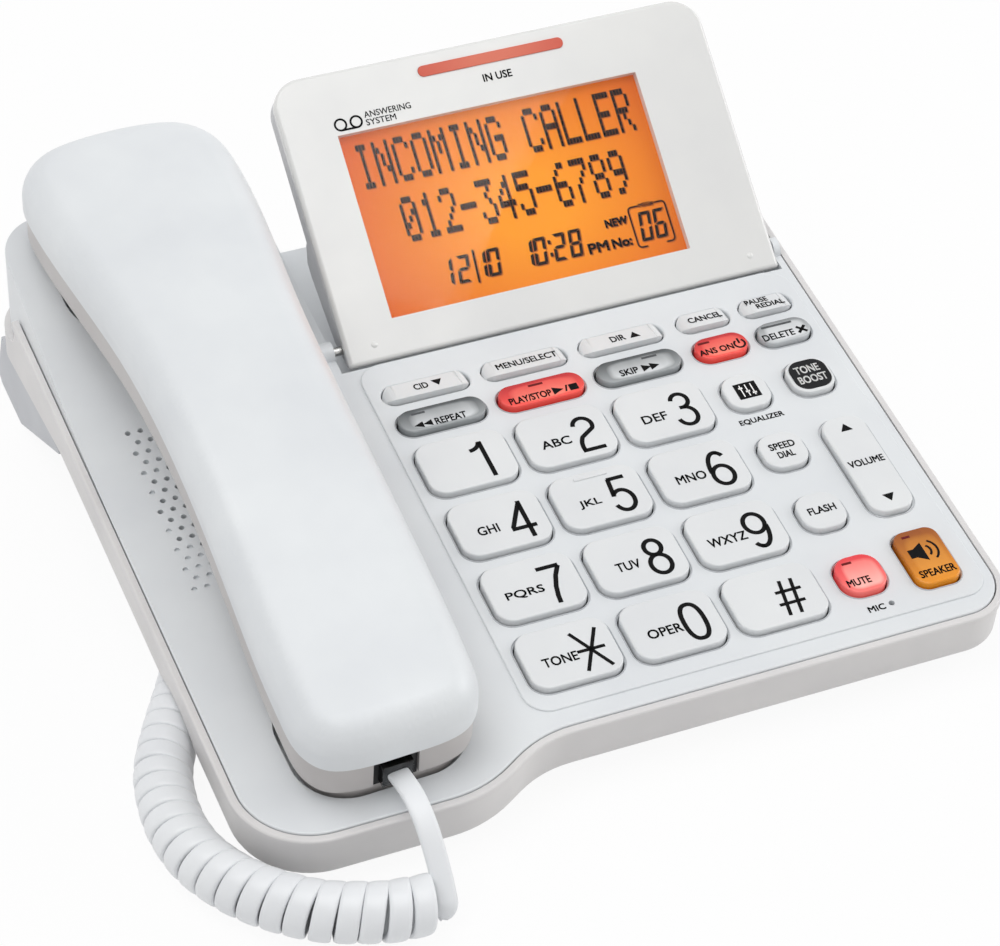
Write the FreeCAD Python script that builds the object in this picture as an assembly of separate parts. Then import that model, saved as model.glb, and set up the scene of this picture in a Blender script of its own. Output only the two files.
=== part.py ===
"""Corded desk telephone with an answering system, a tilting display and a curly handset cord.

The deck frame has X across the phone, Y up the slope of the deck and Z square to the deck, with the
keypad plate at Z = 0. Everything is drawn there, then tipped by DECK_TILT so that the feet stand on
the floor. The display has its own frame, hinged to the deck, and the handset has its own, turned a
little about the deck's normal.
"""
import FreeCAD
import Part
import math
import os

Vec = FreeCAD.Vector

# ---------------------------------------------------------------- driving dimensions, millimetres
# Base
DECK_TILT = 8.0            # slope of the deck, degrees
DECK_HEIGHT = 25.0         # height of the deck frame's origin above the floor
BASE_LEFT_FRONT = -105.9   # left side of the seam at the front lobe
BASE_LEFT_REAR = -110.4    # left side of the seam at the rear
BASE_RIGHT = 92.5          # right side of the seam
BASE_FRONT = -44.0         # front of the seam below the keypad
LOBE_FRONT = -55.0         # front of the seam below the handset
LOBE_END = -51.5           # where the lobe's front starts to fall back
LOBE_START = -33.5         # where it meets the keypad's front
BASE_REAR = 151.0
CORNER_REAR = 12.0
CORNER_LOBE = 18.0
CORNER_SWEEP = 30.0
CORNER_RIGHT = 11.0
WALL = 2.0                 # skin of the top housing
FLOOR = 2.2                # floor of the bottom housing
FRAME_Z = -0.5             # deck outside the keypad plate
SKIRT_Z = -3.0             # lower edge of the top housing's skirt
BOTTOM_Z = -14.0           # underside of the slab
BOTTOM_REAR_Z = -25.0      # underside at the rear wall
BOTTOM_KNEE = 92.0         # where the underside starts to fall
SEAM_GAP = 0.35
RIM_OUT = 2.2              # ledge outside the seam
RIM_HEIGHT = 1.8
SIDE_OUT = 1.7             # side wall outside the seam
SIDE_IN = 0.8              # side wall inside the seam
REAR_STEP = 131.0          # where the ledge ends towards the rear
REAR_STEP_Z = -12.0
REAR_STEP_RADIUS = 8.0
DECK_ROUND = 0.6
RIM_ROUND = 0.7
BOTTOM_ROUND = 1.6
BOSS_RADIUS = 3.0
SCREW_RADIUS = 1.45
SCREW_HEAD = 2.7
SCREW_HEAD_THICK = 1.8
SCREW_MEET = -6.0          # where the screw posts and bosses meet
SCREW_TOP = -3.2
SCREW_REACH = 5.0

# Keypad plate
PLATE_LEFT = -33.4
PLATE_RIGHT = 90.0
PLATE_FRONT = -39.0
PLATE_REAR = 84.3
PLATE_CORNER = 6.5
PLATE_ROUND = 0.4
KEY_PITCH_X = 27.4
KEY_PITCH_Y = 22.476
KEY_X = -18.05             # centre of the first column
KEY_Y = 42.7               # centre of the first row
KEY_WIDTH = 23.9
KEY_LENGTH = 18.0
KEY_CORNER = 4.5
KEY_TOP = 1.8
KEY_GAP = 0.35             # gap round each key
KEY_ROUND = 0.9
HOLE_ROUND = 0.6
HOLE_INSET = 1.5           # from the plate's edge to the nearest hole
KEY_WALL = 1.3
MENU_FAR_TOP = 0.3         # top of the sloped menu keys at their far edge
FLANGE = 0.7
FLANGE_THICK = 0.9
FLANGE_GAP = 0.05
ROCKER_GAP = 0.6           # over the rocker's flange, so that it can tilt
ROCKER_SEAT = 0.1          # under the rocker's axle
ROCKER_AXLE = 1.2          # radius of the round foot that it rocks on
ROCKER_AXLE_LENGTH = 8.0
KEY_POST = 2.4
CLEAR_SKIN = 0.9           # extra thickness over the hollow of clear and menu keys
MENU_HOLLOW_TOP = -0.9
BAR_WIDTH = 9.0            # raised bar on the middle key
BAR_LENGTH = 0.8
BAR_RISE = 0.35
BAR_FROM_EDGE = 1.6
KEY_TRAVEL = 1.2
SIDE_KEY = 12.0            # side of the small square keys
SIDE_X = 60.2              # first column of side keys
SIDE_X2 = 78.6             # second column of side keys
SOFT_X = 9.6               # middle of the three wide soft keys
SOFT_PITCH = 27.6
SOFT_WIDTH = 23.6
SOFT_NARROW = 14.8
SOFT_SHIFT = 0.8           # narrow soft keys stand this far right of the side keys
MENU_Y = 72.0
MENU_LENGTH = 6.5
TAPE_Y = 60.4
TAPE_LENGTH = 7.9
MIC_X = 63.9
MIC_Y = -35.0
MIC_RADIUS = 0.8

# Boards under the keys
MAT_GAP = 0.25
MAT_THICK = 0.8
BOARD_THICK = 1.6
BOARD_MARGIN = 3.0
POST_RADIUS = 3.0
LED_SIZE = 1.6
LED_HEIGHT = 1.1
LED_SIDE = 1.8             # from the key's inner wall to the light
LED_REAR = 1.0
BOARD_FRONT_MARGIN = 4.7
BOARD_REAR_MARGIN = 8.0

# Display head, in its own frame: X across, Y up the plate, Z out of its face
HEAD_TILT = 32.45          # of the plate over the deck
HEAD_LEFT = -34.0
HEAD_WIDTH = 123.9
HEAD_LENGTH = 79.5
HEAD_FOOT = 85.0           # deck Y of the plate's lower edge
HEAD_CORNER = 8.5
HEAD_LOW_CORNER = 0.8
PLATE_THICK = 2.2
HEAD_THICK = 9.0
HEAD_HUB = 13.0            # thickness at the hub, low on the back
HUB_TOP = 33.0
HEAD_WALL = 1.8
HEAD_ROUND = 1.2
LCD_X = 23.6
LCD_Y = 36.1
LCD_WIDTH = 86.0
LCD_LENGTH = 51.2
LCD_LAP = 2.4              # panel beyond the opening
LCD_THICK = 2.5
LIGHT_THICK = 2.2
LAMP_X = 28.0
LAMP_Y = 74.2
LAMP_WIDTH = 42.0
LAMP_LENGTH = 3.1
HINGE_Y = 6.0
HINGE_Z = -4.2
PIN_RADIUS = 1.2
PIN_FIT = 0.05
PIN_LENGTH = 8.4
PIN_GRIP = 4.2             # length of pin held in the head
HINGE_BOSS = 2.6
HINGE_EAR = 3.0            # knuckle on the recess's wall
HINGE_EAR_WIDTH = 4.0
WINDOW_FIT = 0.05
WINDOW_SINK = 0.25
LIGHT_INSET = 2.0
LAMP_RISE = 0.3

# Recess behind the display
RECESS_LEFT = -36.6
RECESS_SIDE_GAP = 0.5
RECESS_FLOOR_FRONT = -9.4
RECESS_FLOOR_REAR = -17.5
RECESS_WALL = 1.8

# Hump and wells of the cradle
HUMP_RIGHT = -40.0
HUMP_TOP_RIGHT = -44.0
HUMP_ROUND = 3.0
WELL_GAP = 1.3             # round the handset's cups
SEAT_GAP = 0.3             # under the cups
GRILLE_PITCH_X = 3.3
GRILLE_PITCH_Y = 3.4
GRILLE_LEFT = -95.9
GRILLE_REAR = 80.0
GRILLE_ROWS = 17
GRILLE_COLUMNS = 14
GRILLE_HOLE = 0.75
DIMPLE_DEPTH = 0.7
SPEAKER_X = -71.0
SPEAKER_Y = 52.8
SPEAKER_RADIUS = 27.0
SPEAKER_DEPTH = 8.0
MAGNET_RADIUS = 12.0
SPEAKER_RIM = 1.5          # flange that no hole reaches
SPEAKER_RIB = 2.2
SPEAKER_RIB_DROP = 4.0

# Handset, in its own frame: X across, Y along, Z square to the deck
HANDSET_X = -71.6
HANDSET_TURN = 2.0         # degrees about the deck's normal
HANDSET_SKIN = 2.0
PAST = 3.0                 # how far a hollow is drawn past its open side
HANDSET_ROUND = 8.5
HANDSET_CROWN = 1.6        # rise of the back over its half width
LOWER_INSET = 0.8
GRIP_DEPTH = 9.0
CUP_ROUND = 3.0
EAR_FLOOR = 5.0            # lowest level of the ear cup
MOUTH_FLOOR = -5.0
HOOK_TRAVEL = 3.6
HOOK_WIDTH = 8.0
HOOK_LENGTH = 5.0
HOOK_FIT = 0.1
EAR_Y = 127.0              # middle of the ear cup
MOUTH_Y = -28.0            # middle of the mouth cup
RECEIVER_RADIUS = 13.0
RECEIVER_THICK = 5.0
SOUND_HOLE = 1.0           # radius of the holes in the cups
SOUND_SPREAD = 5.0
CAPSULE_RADIUS = 5.0
CAPSULE_THICK = 4.0
HANDSET_FACE = -46.3       # front of the handset's jack
HANDSET_JACK_X = -1.0
HANDSET_JACK_RISE = 10.5   # of the jack's axis over the mouth cup's floor

# Plugs and jacks
PLUG_WIDTH = 7.7
PLUG_HEIGHT = 6.6
PLUG_LENGTH = 11.6
PLUG_FIT = 0.1
JACK_WIDTH = 11.4
JACK_HEIGHT = 9.0
JACK_DEPTH = 11.0
JACK_BACK = 1.5            # of a jack behind its socket
PLUG_END_GAP = 0.2
LINE_JACK_X = -88.0
LINE_JACK_WIDTH = 13.0
LINE_JACK_HEIGHT = 11.0
POWER_JACK_X = -65.0
POWER_JACK_SIZE = 10.0
POWER_BORE = 2.8
POWER_DEPTH = 9.0
POWER_CLEAR = 1.4          # round the bore in the housing's skirt
CORD_JACK_X = -92.0
CORD_JACK_FRONT = 99.0     # face of the handset cord's jack under the base
CORD_JACK_TOP = -6.0       # ceiling over it
CORD_POCKET_FRONT = 70.0
CORD_POCKET_STEP = 84.0    # where the ceiling steps down towards the front
CORD_POCKET_HALF = 8.0
POCKET_WALL = 1.8
TROUGH_START = (-118.0, -12.4)
TROUGH_END = (-90.0, 40.0)
TROUGH_GAP = 0.95

# Handset cord
COIL_DIAMETER = 14.5
LEAD_DIAMETER = 4.0

# Stand
STAND_FOOT_FRONT = 140.0   # front of the floor face, along the floor
STAND_FOOT_REAR = 164.0
STAND_WALL = 2.4
STAND_ROUND = 3.0
STAND_LIFT = 0.6           # of the stand over the floor, on its feet
TAB_LENGTH = 8.0
TAB_FIT = 0.1
FOOT_RADIUS = 6.0
FOOT_SEAT = 1.0


# ---------------------------------------------------------------- drawing helpers
def vec(x, y, z=0.0):
    return Vec(x, y, z)


def box(x0, x1, y0, y1, z0, z1):
    """A box between two corners."""
    return Part.makeBox(x1 - x0, y1 - y0, z1 - z0, Vec(x0, y0, z0))


def cylinder(radius, start, end):
    """A cylinder from one point to another."""
    run = end - start
    return Part.makeCylinder(radius, run.Length, start, run)


def rounded_outline(corners):
    """A closed wire at Z = 0 through corners (x, y, radius), each rounded by a tangent arc."""
    edges = []
    starts = []
    ends = []
    arcs = []
    count = len(corners)
    for i, (x, y, radius) in enumerate(corners):
        here = vec(x, y)
        before = vec(*corners[i - 1][:2]) - here
        after = vec(*corners[(i + 1) % count][:2]) - here
        before.normalize()
        after.normalize()
        half = before.getAngle(after) / 2
        reach = radius / math.tan(half)
        middle = before + after
        middle.normalize()
        centre = here + middle * (radius / math.sin(half))
        starts.append(here + before * reach)
        ends.append(here + after * reach)
        arcs.append(centre - middle * radius)
    for i in range(count):
        if corners[i][2] > 0:
            edges.append(Part.Arc(starts[i], arcs[i], ends[i]).toShape())
        if (starts[(i + 1) % count] - ends[i]).Length > 1e-6:
            edges.append(Part.makeLine(ends[i], starts[(i + 1) % count]))
    return Part.Wire(edges)


def rounded_rectangle(x0, x1, y0, y1, radius):
    """A rounded rectangle wire at Z = 0."""
    return rounded_outline([(x0, y0, radius), (x1, y0, radius), (x1, y1, radius), (x0, y1, radius)])


def grown(wire, distance):
    """The wire moved outwards by a distance, or inwards by a negative one."""
    return wire.makeOffset2D(distance) if distance else wire


def prism(wire, z0, z1):
    """The wire's face, extruded from z0 to z1."""
    face = Part.Face(wire)
    face.translate(vec(0, 0, z0))
    return face.extrude(vec(0, 0, z1 - z0))


def side_prism(outline, x0, x1):
    """A polygon of (y, z) points, extruded along X."""
    points = [Vec(x0, y, z) for y, z in outline]
    face = Part.Face(Part.makePolygon(points + points[:1]))
    return face.extrude(vec(x1 - x0, 0))


def side_wire_prism(edges, x0, x1):
    """Edges in the plane X = x0, closed and extruded along X."""
    return Part.Face(Part.Wire(edges)).extrude(vec(x1 - x0, 0))


def spline_yz(points, x):
    """A smooth curve through (y, z) points in the plane of constant X."""
    curve = Part.BSplineCurve()
    curve.interpolate(Points=[Vec(x, y, z) for y, z in points])
    return curve.toShape()


def edges_where(shape, test):
    """The shape's edges whose two ends and middle pass the test."""
    picked = []
    for edge in shape.Edges:
        middle = edge.valueAt((edge.FirstParameter + edge.LastParameter) / 2)
        if all(test(p) for p in [middle] + [v.Point for v in edge.Vertexes]):
            picked.append(edge)
    return picked


def rounded(shape, radius, test):
    """The shape with the picked edges filleted."""
    return shape.makeFillet(radius, edges_where(shape, test))


def at_level(z):
    """A test for edges that lie in one level."""
    return lambda p: abs(p.z - z) < 1e-4


def ring(centre, outer, inner, z0, z1):
    """A tube standing on Z."""
    low = vec(centre[0], centre[1], z0)
    high = vec(centre[0], centre[1], z1)
    return cylinder(outer, low, high).cut(cylinder(inner, low, high))


# ---------------------------------------------------------------- base outlines
def base_outline(out=0.0):
    """The seam's outline seen square to the deck, moved outwards by out."""
    lobe = rounded_outline([
        (BASE_LEFT_REAR, BASE_REAR, CORNER_REAR),
        (BASE_LEFT_FRONT, LOBE_FRONT, CORNER_LOBE),
        (LOBE_END, LOBE_FRONT, CORNER_SWEEP),
        (LOBE_START, BASE_FRONT, CORNER_SWEEP),
        (BASE_RIGHT, BASE_FRONT, CORNER_RIGHT),
        (BASE_RIGHT, BASE_REAR, CORNER_REAR),
    ])
    return grown(lobe, out)


def under_line(y, lift=0.0):
    """Level of the slab's underside at a deck Y, raised by lift."""
    fall = (BOTTOM_REAR_Z - BOTTOM_Z) / (BASE_REAR - BOTTOM_KNEE)
    return BOTTOM_Z + lift + max(0.0, y - BOTTOM_KNEE) * fall


def above_underside(lift, x0=-200.0, x1=200.0):
    """The space above the slab's underside raised by lift."""
    far = BASE_REAR + 60
    return side_prism([(-100, under_line(-100, lift)), (BOTTOM_KNEE, under_line(BOTTOM_KNEE, lift)),
                       (far, under_line(far, lift)), (far, 90), (-100, 90)], x0, x1)


def recess_floor(y, drop=0.0):
    """Level of the recess's floor at a deck Y, lowered by drop."""
    run = BASE_REAR - PLATE_REAR
    share = (y - PLATE_REAR) / run
    bend = 0.16
    if share < bend:
        return RECESS_FLOOR_FRONT - 0.4 * share / bend - drop
    start = RECESS_FLOOR_FRONT - 0.4
    return start + (RECESS_FLOOR_REAR - start) * (share - bend) / (1 - bend) - drop


def recess_space(x0, x1, y0, drop, top):
    """The space over the recess's floor, or over that floor lowered by drop."""
    knee = PLATE_REAR + 0.16 * (BASE_REAR - PLATE_REAR)
    far = BASE_REAR + 30
    return side_prism([(y0, recess_floor(PLATE_REAR, drop)), (knee, recess_floor(knee, drop)),
                       (far, recess_floor(far, drop)), (far, top), (y0, top)], x0, x1)


def hump_profile(drop=0.0):
    """Side view of the hump's top, as (y, z) points."""
    rise = [(48, 0), (68, 0.5), (90, 3.0), (110, 7.3), (130, 11.8)]
    rise += [(BASE_REAR + 1, 15.6), (BASE_REAR + 20, 18.5)]
    return [(y, FRAME_Z + z - drop) for y, z in rise]


def hump(inset):
    """The raised rear of the cradle as a block, shrunk by inset."""
    low = -20.0
    curve = spline_yz(hump_profile(inset), -200)
    first, last = curve.Vertexes[0].Point, curve.Vertexes[-1].Point
    rear, front = Vec(-200, last.y, low), Vec(-200, first.y, low)
    body = side_wire_prism([curve, Part.makeLine(last, rear), Part.makeLine(rear, front),
                            Part.makeLine(front, first)], -200, 0)
    body = body.common(prism(base_outline(-inset), low, 60))
    shift = HUMP_RIGHT - HUMP_TOP_RIGHT
    slope = [(-300, low), (-300, 60), (HUMP_TOP_RIGHT - inset - shift, 32), (HUMP_RIGHT - inset, FRAME_Z),
             (HUMP_RIGHT - inset, low)]
    points = [Vec(x, 0, z) for x, z in slope]
    side = Part.Face(Part.makePolygon(points + points[:1])).extrude(vec(0, 300))
    body = body.common(side).Solids[0]
    if inset:
        return body
    top = max(body.Faces, key=lambda face: face.BoundBox.ZMax + face.Area)
    edges = [edge for edge in top.Edges if edge.BoundBox.YMax > 50]
    return body.makeFillet(HUMP_ROUND, edges)


# ---------------------------------------------------------------- keys
def key_table():
    """Every key as name: (x, y, width, length, corner, kind)."""
    keys = {}
    names = [["key_1", "key_2", "key_3"], ["key_4", "key_5", "key_6"],
             ["key_7", "key_8", "key_9"], ["key_star", "key_0", "key_hash"]]
    for row, line in enumerate(names):
        for column, name in enumerate(line):
            x = KEY_X + column * KEY_PITCH_X
            y = KEY_Y - row * KEY_PITCH_Y
            keys[name] = (x, y, KEY_WIDTH, KEY_LENGTH, KEY_CORNER, "dial")
    soft = [SOFT_X - SOFT_PITCH, SOFT_X, SOFT_X + SOFT_PITCH]
    menu = ["calls_key", "menu_key", "directory_key"]
    tape = ["repeat_key", "play_stop_key", "skip_key"]
    for x, upper, lower in zip(soft, menu, tape):
        keys[upper] = (x, MENU_Y, SOFT_WIDTH, MENU_LENGTH, MENU_LENGTH / 2 - 0.05, "menu")
        keys[lower] = (x, TAPE_Y, SOFT_WIDTH, TAPE_LENGTH, TAPE_LENGTH / 2 - 0.05, "clear")
    for x, upper, lower in [(SIDE_X, "cancel_key", "answer_on_key"), (SIDE_X2, "redial_key", "delete_key")]:
        keys[upper] = (x + SOFT_SHIFT, MENU_Y, SOFT_NARROW, MENU_LENGTH, MENU_LENGTH / 2 - 0.05, "menu")
        keys[lower] = (x + SOFT_SHIFT, TAPE_Y, SOFT_NARROW, TAPE_LENGTH, TAPE_LENGTH / 2 - 0.05, "clear")
    keys["equalizer_key"] = (SIDE_X, KEY_Y, SIDE_KEY, SIDE_KEY, KEY_CORNER, "side")
    keys["tone_boost_key"] = (SIDE_X2, KEY_Y, SIDE_KEY, SIDE_KEY, KEY_CORNER, "side")
    keys["speed_dial_key"] = (SIDE_X, KEY_Y - KEY_PITCH_Y, SIDE_KEY, SIDE_KEY, KEY_CORNER, "side")
    keys["flash_key"] = (SIDE_X, KEY_Y - 2 * KEY_PITCH_Y, SIDE_KEY, SIDE_KEY, KEY_CORNER, "side")
    keys["mute_key"] = (SIDE_X, KEY_Y - 3 * KEY_PITCH_Y, SIDE_KEY, SIDE_KEY, KEY_CORNER, "clear")
    keys["speaker_key"] = (SIDE_X2, KEY_Y - 3 * KEY_PITCH_Y, SIDE_KEY, KEY_LENGTH, 3.2, "clear")
    span = KEY_PITCH_Y + SIDE_KEY
    keys["volume_rocker"] = (SIDE_X2, KEY_Y - 1.5 * KEY_PITCH_Y, SIDE_KEY, span, 5.0, "rocker")
    return keys


def key_outline(key, out=0.0):
    """The key's outline, grown by out."""
    x, y, width, length, corner, _ = key
    wire = rounded_rectangle(x - width / 2, x + width / 2, y - length / 2, y + length / 2, corner)
    return grown(wire, out)


def rocker_axis():
    """Level of the axis that the rocker tilts about."""
    return mat_top() + ROCKER_SEAT + ROCKER_AXLE


def key_cap(name, key):
    """One keycap: a hollow cap with a flange that stops it under the plate."""
    x, y, width, length, _, kind = key
    flange_top = -WALL - (ROCKER_GAP if kind == "rocker" else FLANGE_GAP)
    low = flange_top - FLANGE_THICK
    cap = prism(key_outline(key), low, KEY_TOP)
    if kind == "menu":
        near, far = y - length / 2, y + length / 2
        above = [(near - 1, KEY_TOP), (near, KEY_TOP), (far + 1, MENU_FAR_TOP), (far + 1, 9), (near - 1, 9)]
        slope = side_prism(above, x - width, x + width)
        cap = cap.cut(slope).Solids[0]
    round_at = KEY_ROUND if kind != "menu" else KEY_ROUND / 2
    cap = rounded(cap, round_at, lambda p: p.z > flange_top + 1.0)
    flange = prism(key_outline(key, FLANGE), low, flange_top)
    hollow_top = KEY_TOP - KEY_WALL - (CLEAR_SKIN if kind in ("clear", "menu") else 0.0)
    hollow = prism(key_outline(key, -KEY_WALL), low - 1, MENU_HOLLOW_TOP if kind == "menu" else hollow_top)
    half = KEY_POST / 2
    foot_level = rocker_axis() if kind == "rocker" else low
    post = box(x - half, x + half, y - half, y + half, foot_level, hollow_top + 0.1)
    if kind == "rocker":
        reach = ROCKER_AXLE_LENGTH / 2
        post = post.fuse(cylinder(ROCKER_AXLE, vec(x - reach, y, foot_level), vec(x + reach, y, foot_level)))
    cap = cap.fuse(flange).cut(hollow).fuse(post)
    if name == "key_5":
        rear = y + length / 2 - BAR_FROM_EDGE
        half = BAR_WIDTH / 2
        bar = box(x - half, x + half, rear - BAR_LENGTH, rear, KEY_TOP - 0.5, KEY_TOP + BAR_RISE)
        cap = cap.fuse(bar)
    return cap.removeSplitter()


# ---------------------------------------------------------------- handset
def handset_half():
    """Right half of the handset's outline, front to rear, as (x, y) points."""
    front = [(0, -48.3), (12, -47.9), (18.5, -45.6), (22.2, -40.5), (23.4, -32), (23.6, -18)]
    grip = [(23.2, 0), (22.6, 25), (22.5, 50), (23.7, 78), (25.7, 98)]
    rear = [(27.6, 118), (28.3, 134), (26.4, 146.5), (20, 153.6), (10.5, 156.2), (0, 156.6)]
    return front + grip + rear


def handset_outline(inset, z):
    """The handset's closed outline at a level, shrunk by inset."""
    half = handset_half()
    loop = half + [(-x, y) for x, y in half[1:-1]][::-1]
    points = []
    count = len(loop)
    for i, (x, y) in enumerate(loop):
        before, after = loop[i - 1], loop[(i + 1) % count]
        along = vec(after[0] - before[0], after[1] - before[1])
        along.normalize()
        points.append(vec(x - along.y * inset, y + along.x * inset, z))
    curve = Part.BSplineCurve()
    curve.interpolate(Points=points, PeriodicFlag=True)
    return Part.Wire([curve.toShape()])


def parting(drop=0.0):
    """Side view of the line where the two shells meet."""
    line = [(-60, 8.5), (-48, 11), (-20, 16.3), (10, 23), (45, 28.6), (80, 30.5), (115, 29.3)]
    line += [(156, 25.5), (170, 24)]
    return [(y, z - drop) for y, z in line]


def handset_back(drop=0.0):
    """Side view of the handset's back."""
    line = [(-60, 20.5), (-48, 22.8), (-20, 28.2), (10, 34.6), (45, 40.2), (80, 42.6), (115, 42.0)]
    line += [(156, 38.0), (170, 36)]
    return [(y, z - drop) for y, z in line]


def beyond_curve(points, z_end):
    """The space between a side-view curve and a level, as wide as the handset."""
    reach = 45
    curve = spline_yz(points, -reach)
    first, last = curve.Vertexes[0].Point, curve.Vertexes[-1].Point
    far, near = Vec(-reach, last.y, z_end), Vec(-reach, first.y, z_end)
    edges = [curve, Part.makeLine(last, far), Part.makeLine(far, near), Part.makeLine(near, first)]
    return side_wire_prism(edges, -reach, reach)


def below_back(drop):
    """The space below the crowned back, lowered by drop."""
    reach = 34.0
    low = -30.0
    side = HANDSET_CROWN * (reach / 23.5) ** 2
    wires = []
    for y, z in handset_back(drop):
        left, right = Vec(-reach, y, z - side), Vec(reach, y, z - side)
        arc = Part.Arc(left, Vec(0, y, z), right).toShape()
        foot_right, foot_left = Vec(reach, y, low), Vec(-reach, y, low)
        wires.append(Part.Wire([arc, Part.makeLine(right, foot_right), Part.makeLine(foot_right, foot_left),
                                Part.makeLine(foot_left, left)]))
    return Part.makeLoft(wires, True, False)


def upper_block(inset):
    """The upper shell's outside, or its inside when inset by the skin."""
    block = prism(handset_outline(inset, 0), -20, 60).common(below_back(inset))
    block = block.common(beyond_curve(parting(PAST if inset else 0.0), 70)).Solids[0]
    split = dict((y, z) for y, z in parting())

    def on_top(p):
        levels = sorted(split)
        below = max(y for y in levels if y <= p.y)
        above = min(y for y in levels if y > p.y)
        share = (p.y - below) / (above - below)
        return p.z > split[below] + (split[above] - split[below]) * share + 4

    return rounded(block, HANDSET_ROUND - inset, on_top)


def cup(sections):
    """A tapered cup through rounded rectangles (half width, y0, y1, corner, z)."""
    wires = []
    for half, y0, y1, corner, z in sections:
        wire = rounded_rectangle(-half, half, y0, y1, corner)
        wire.translate(vec(0, 0, z))
        wires.append(wire)
    return Part.makeLoft(wires, True, True)


def ear_cup(out, floor, top=32.0):
    """The ear cup grown by out, from its floor level to a top level."""
    return cup([(21.5 + out, 111 - out, 143.5 + out, 13 + out, floor),
                (26.3 + out, 106.5 - out, 148.3 + out, 15 + out, top)])


def mouth_cup(out, floor, top=20.0):
    """The mouth cup grown by out, from its floor level to a top level."""
    return cup([(20.0 + out, -45.8 - out, -13 + out, 12 + out, floor),
                (22.3 + out, -47.4 - out, -9.5 + out, 12 + out, top)])


def lower_block(inset):
    """The lower shell's outside, or its inside when inset by the skin."""
    grip = prism(handset_outline(LOWER_INSET + inset, 0), -20, 60)
    grip = grip.common(beyond_curve(parting(GRIP_DEPTH - inset), 70))
    ends = ear_cup(-inset, EAR_FLOOR + inset)
    mouth = mouth_cup(-inset, MOUTH_FLOOR + inset)
    if not inset:
        ends = rounded(ends, CUP_ROUND, at_level(EAR_FLOOR))
        mouth = rounded(mouth, CUP_ROUND, at_level(MOUTH_FLOOR))
    block = grip.fuse(ends).fuse(mouth)
    return block.common(beyond_curve(parting(-PAST if inset else 0.0), -60)).removeSplitter()


def handset_jack_box(out):
    """The space of the handset's jack in the mouth cup's front, grown by out."""
    half_width, half_height = JACK_WIDTH / 2 + out, JACK_HEIGHT / 2 + out
    middle = MOUTH_FLOOR + HANDSET_JACK_RISE
    return box(HANDSET_JACK_X - half_width, HANDSET_JACK_X + half_width, HANDSET_FACE - out,
               HANDSET_FACE + JACK_DEPTH + out, middle - half_height, middle + half_height)


def plug_box(x, y0, y1, z, out=0.0):
    """A plug's body between two Y levels, grown by out."""
    return box(x - PLUG_WIDTH / 2 - out, x + PLUG_WIDTH / 2 + out, y0 - out, y1 + out,
               z - PLUG_HEIGHT / 2 - out, z + PLUG_HEIGHT / 2 + out)


def jack_block(x, y, z):
    """A jack's block from a front Y on, with its socket open towards the front."""
    half_width, half_height = JACK_WIDTH / 2, JACK_HEIGHT / 2
    block = box(x - half_width, x + half_width, y, y + JACK_DEPTH, z - half_height, z + half_height)
    return block.cut(plug_box(x, y - 5, y + JACK_DEPTH - JACK_BACK, z, PLUG_FIT))


def plug_rear(y):
    """How far a plug reaches into a jack whose front is at a Y."""
    return y + JACK_DEPTH - JACK_BACK - PLUG_END_GAP


def to_base(shape):
    """From the handset's frame to the deck frame."""
    moved = shape.copy()
    moved.rotate(vec(0, 0), vec(0, 0, 1), HANDSET_TURN)
    moved.translate(vec(HANDSET_X, 0))
    return moved


# ---------------------------------------------------------------- display head
def head_outline(out=0.0):
    """The display plate's outline in its own frame."""
    right = HEAD_LEFT + HEAD_WIDTH
    wire = rounded_outline([(HEAD_LEFT, 0, HEAD_LOW_CORNER), (right, 0, HEAD_LOW_CORNER),
                            (right, HEAD_LENGTH, HEAD_CORNER), (HEAD_LEFT, HEAD_LENGTH, HEAD_CORNER)])
    return grown(wire, out)


def head_side(inset):
    """Side view of the rear cover, shrunk by inset."""
    top = HEAD_LENGTH - 0.3 - inset
    low = -HEAD_THICK + inset
    hub = -HEAD_HUB + inset
    return [(0.6 + inset, -PLATE_THICK), (1.4 + inset, -3.9), (9.5 + inset, -8.9 + inset), (HUB_TOP - 4, hub),
            (HUB_TOP - inset, hub), (HUB_TOP + 4 - inset, low), (top, low), (top, -PLATE_THICK)]


def lcd_box(out, z0, z1):
    """The display opening's box, grown by out, between two levels."""
    return box(LCD_X - LCD_WIDTH / 2 - out, LCD_X + LCD_WIDTH / 2 + out,
               LCD_Y - LCD_LENGTH / 2 - out, LCD_Y + LCD_LENGTH / 2 + out, z0, z1)


def lamp_wire(out=0.0):
    """The lamp's outline, a bar with round ends."""
    half_width, half_length = LAMP_WIDTH / 2 + out, LAMP_LENGTH / 2 + out
    return rounded_rectangle(LAMP_X - half_width, LAMP_X + half_width, LAMP_Y - half_length,
                             LAMP_Y + half_length, half_length - 0.05)


def display_frame():
    """Front plate with the window and lamp openings and two small dots."""
    plate = prism(head_outline(), -PLATE_THICK, 0)
    plate = rounded(plate, HEAD_ROUND, at_level(0))
    plate = plate.cut(lcd_box(0, -5, 1)).cut(prism(lamp_wire(), -5, 1))
    for x in (HEAD_LEFT + 8.0, HEAD_LEFT + HEAD_WIDTH - 7.4):
        dot = Part.makeSphere(1.5, Vec(x, 4.7, -1.2))
        plate = plate.fuse(dot.common(box(x - 2, x + 2, 2, 7, -0.5, 2)))
    return plate.removeSplitter()


def hinge_pins():
    """Two pins on the head's axis, one at each side."""
    pins = []
    for x in hinge_ends():
        start = Vec(x[0], HINGE_Y, HINGE_Z)
        pins.append(cylinder(PIN_RADIUS, start, Vec(x[1], HINGE_Y, HINGE_Z)))
    return Part.makeCompound(pins)


def hinge_ends():
    """X spans of the two pins."""
    left = HEAD_LEFT + PIN_GRIP
    right = HEAD_LEFT + HEAD_WIDTH - PIN_GRIP
    return [(left - PIN_LENGTH, left), (right, right + PIN_GRIP + 2.0)]


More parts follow.
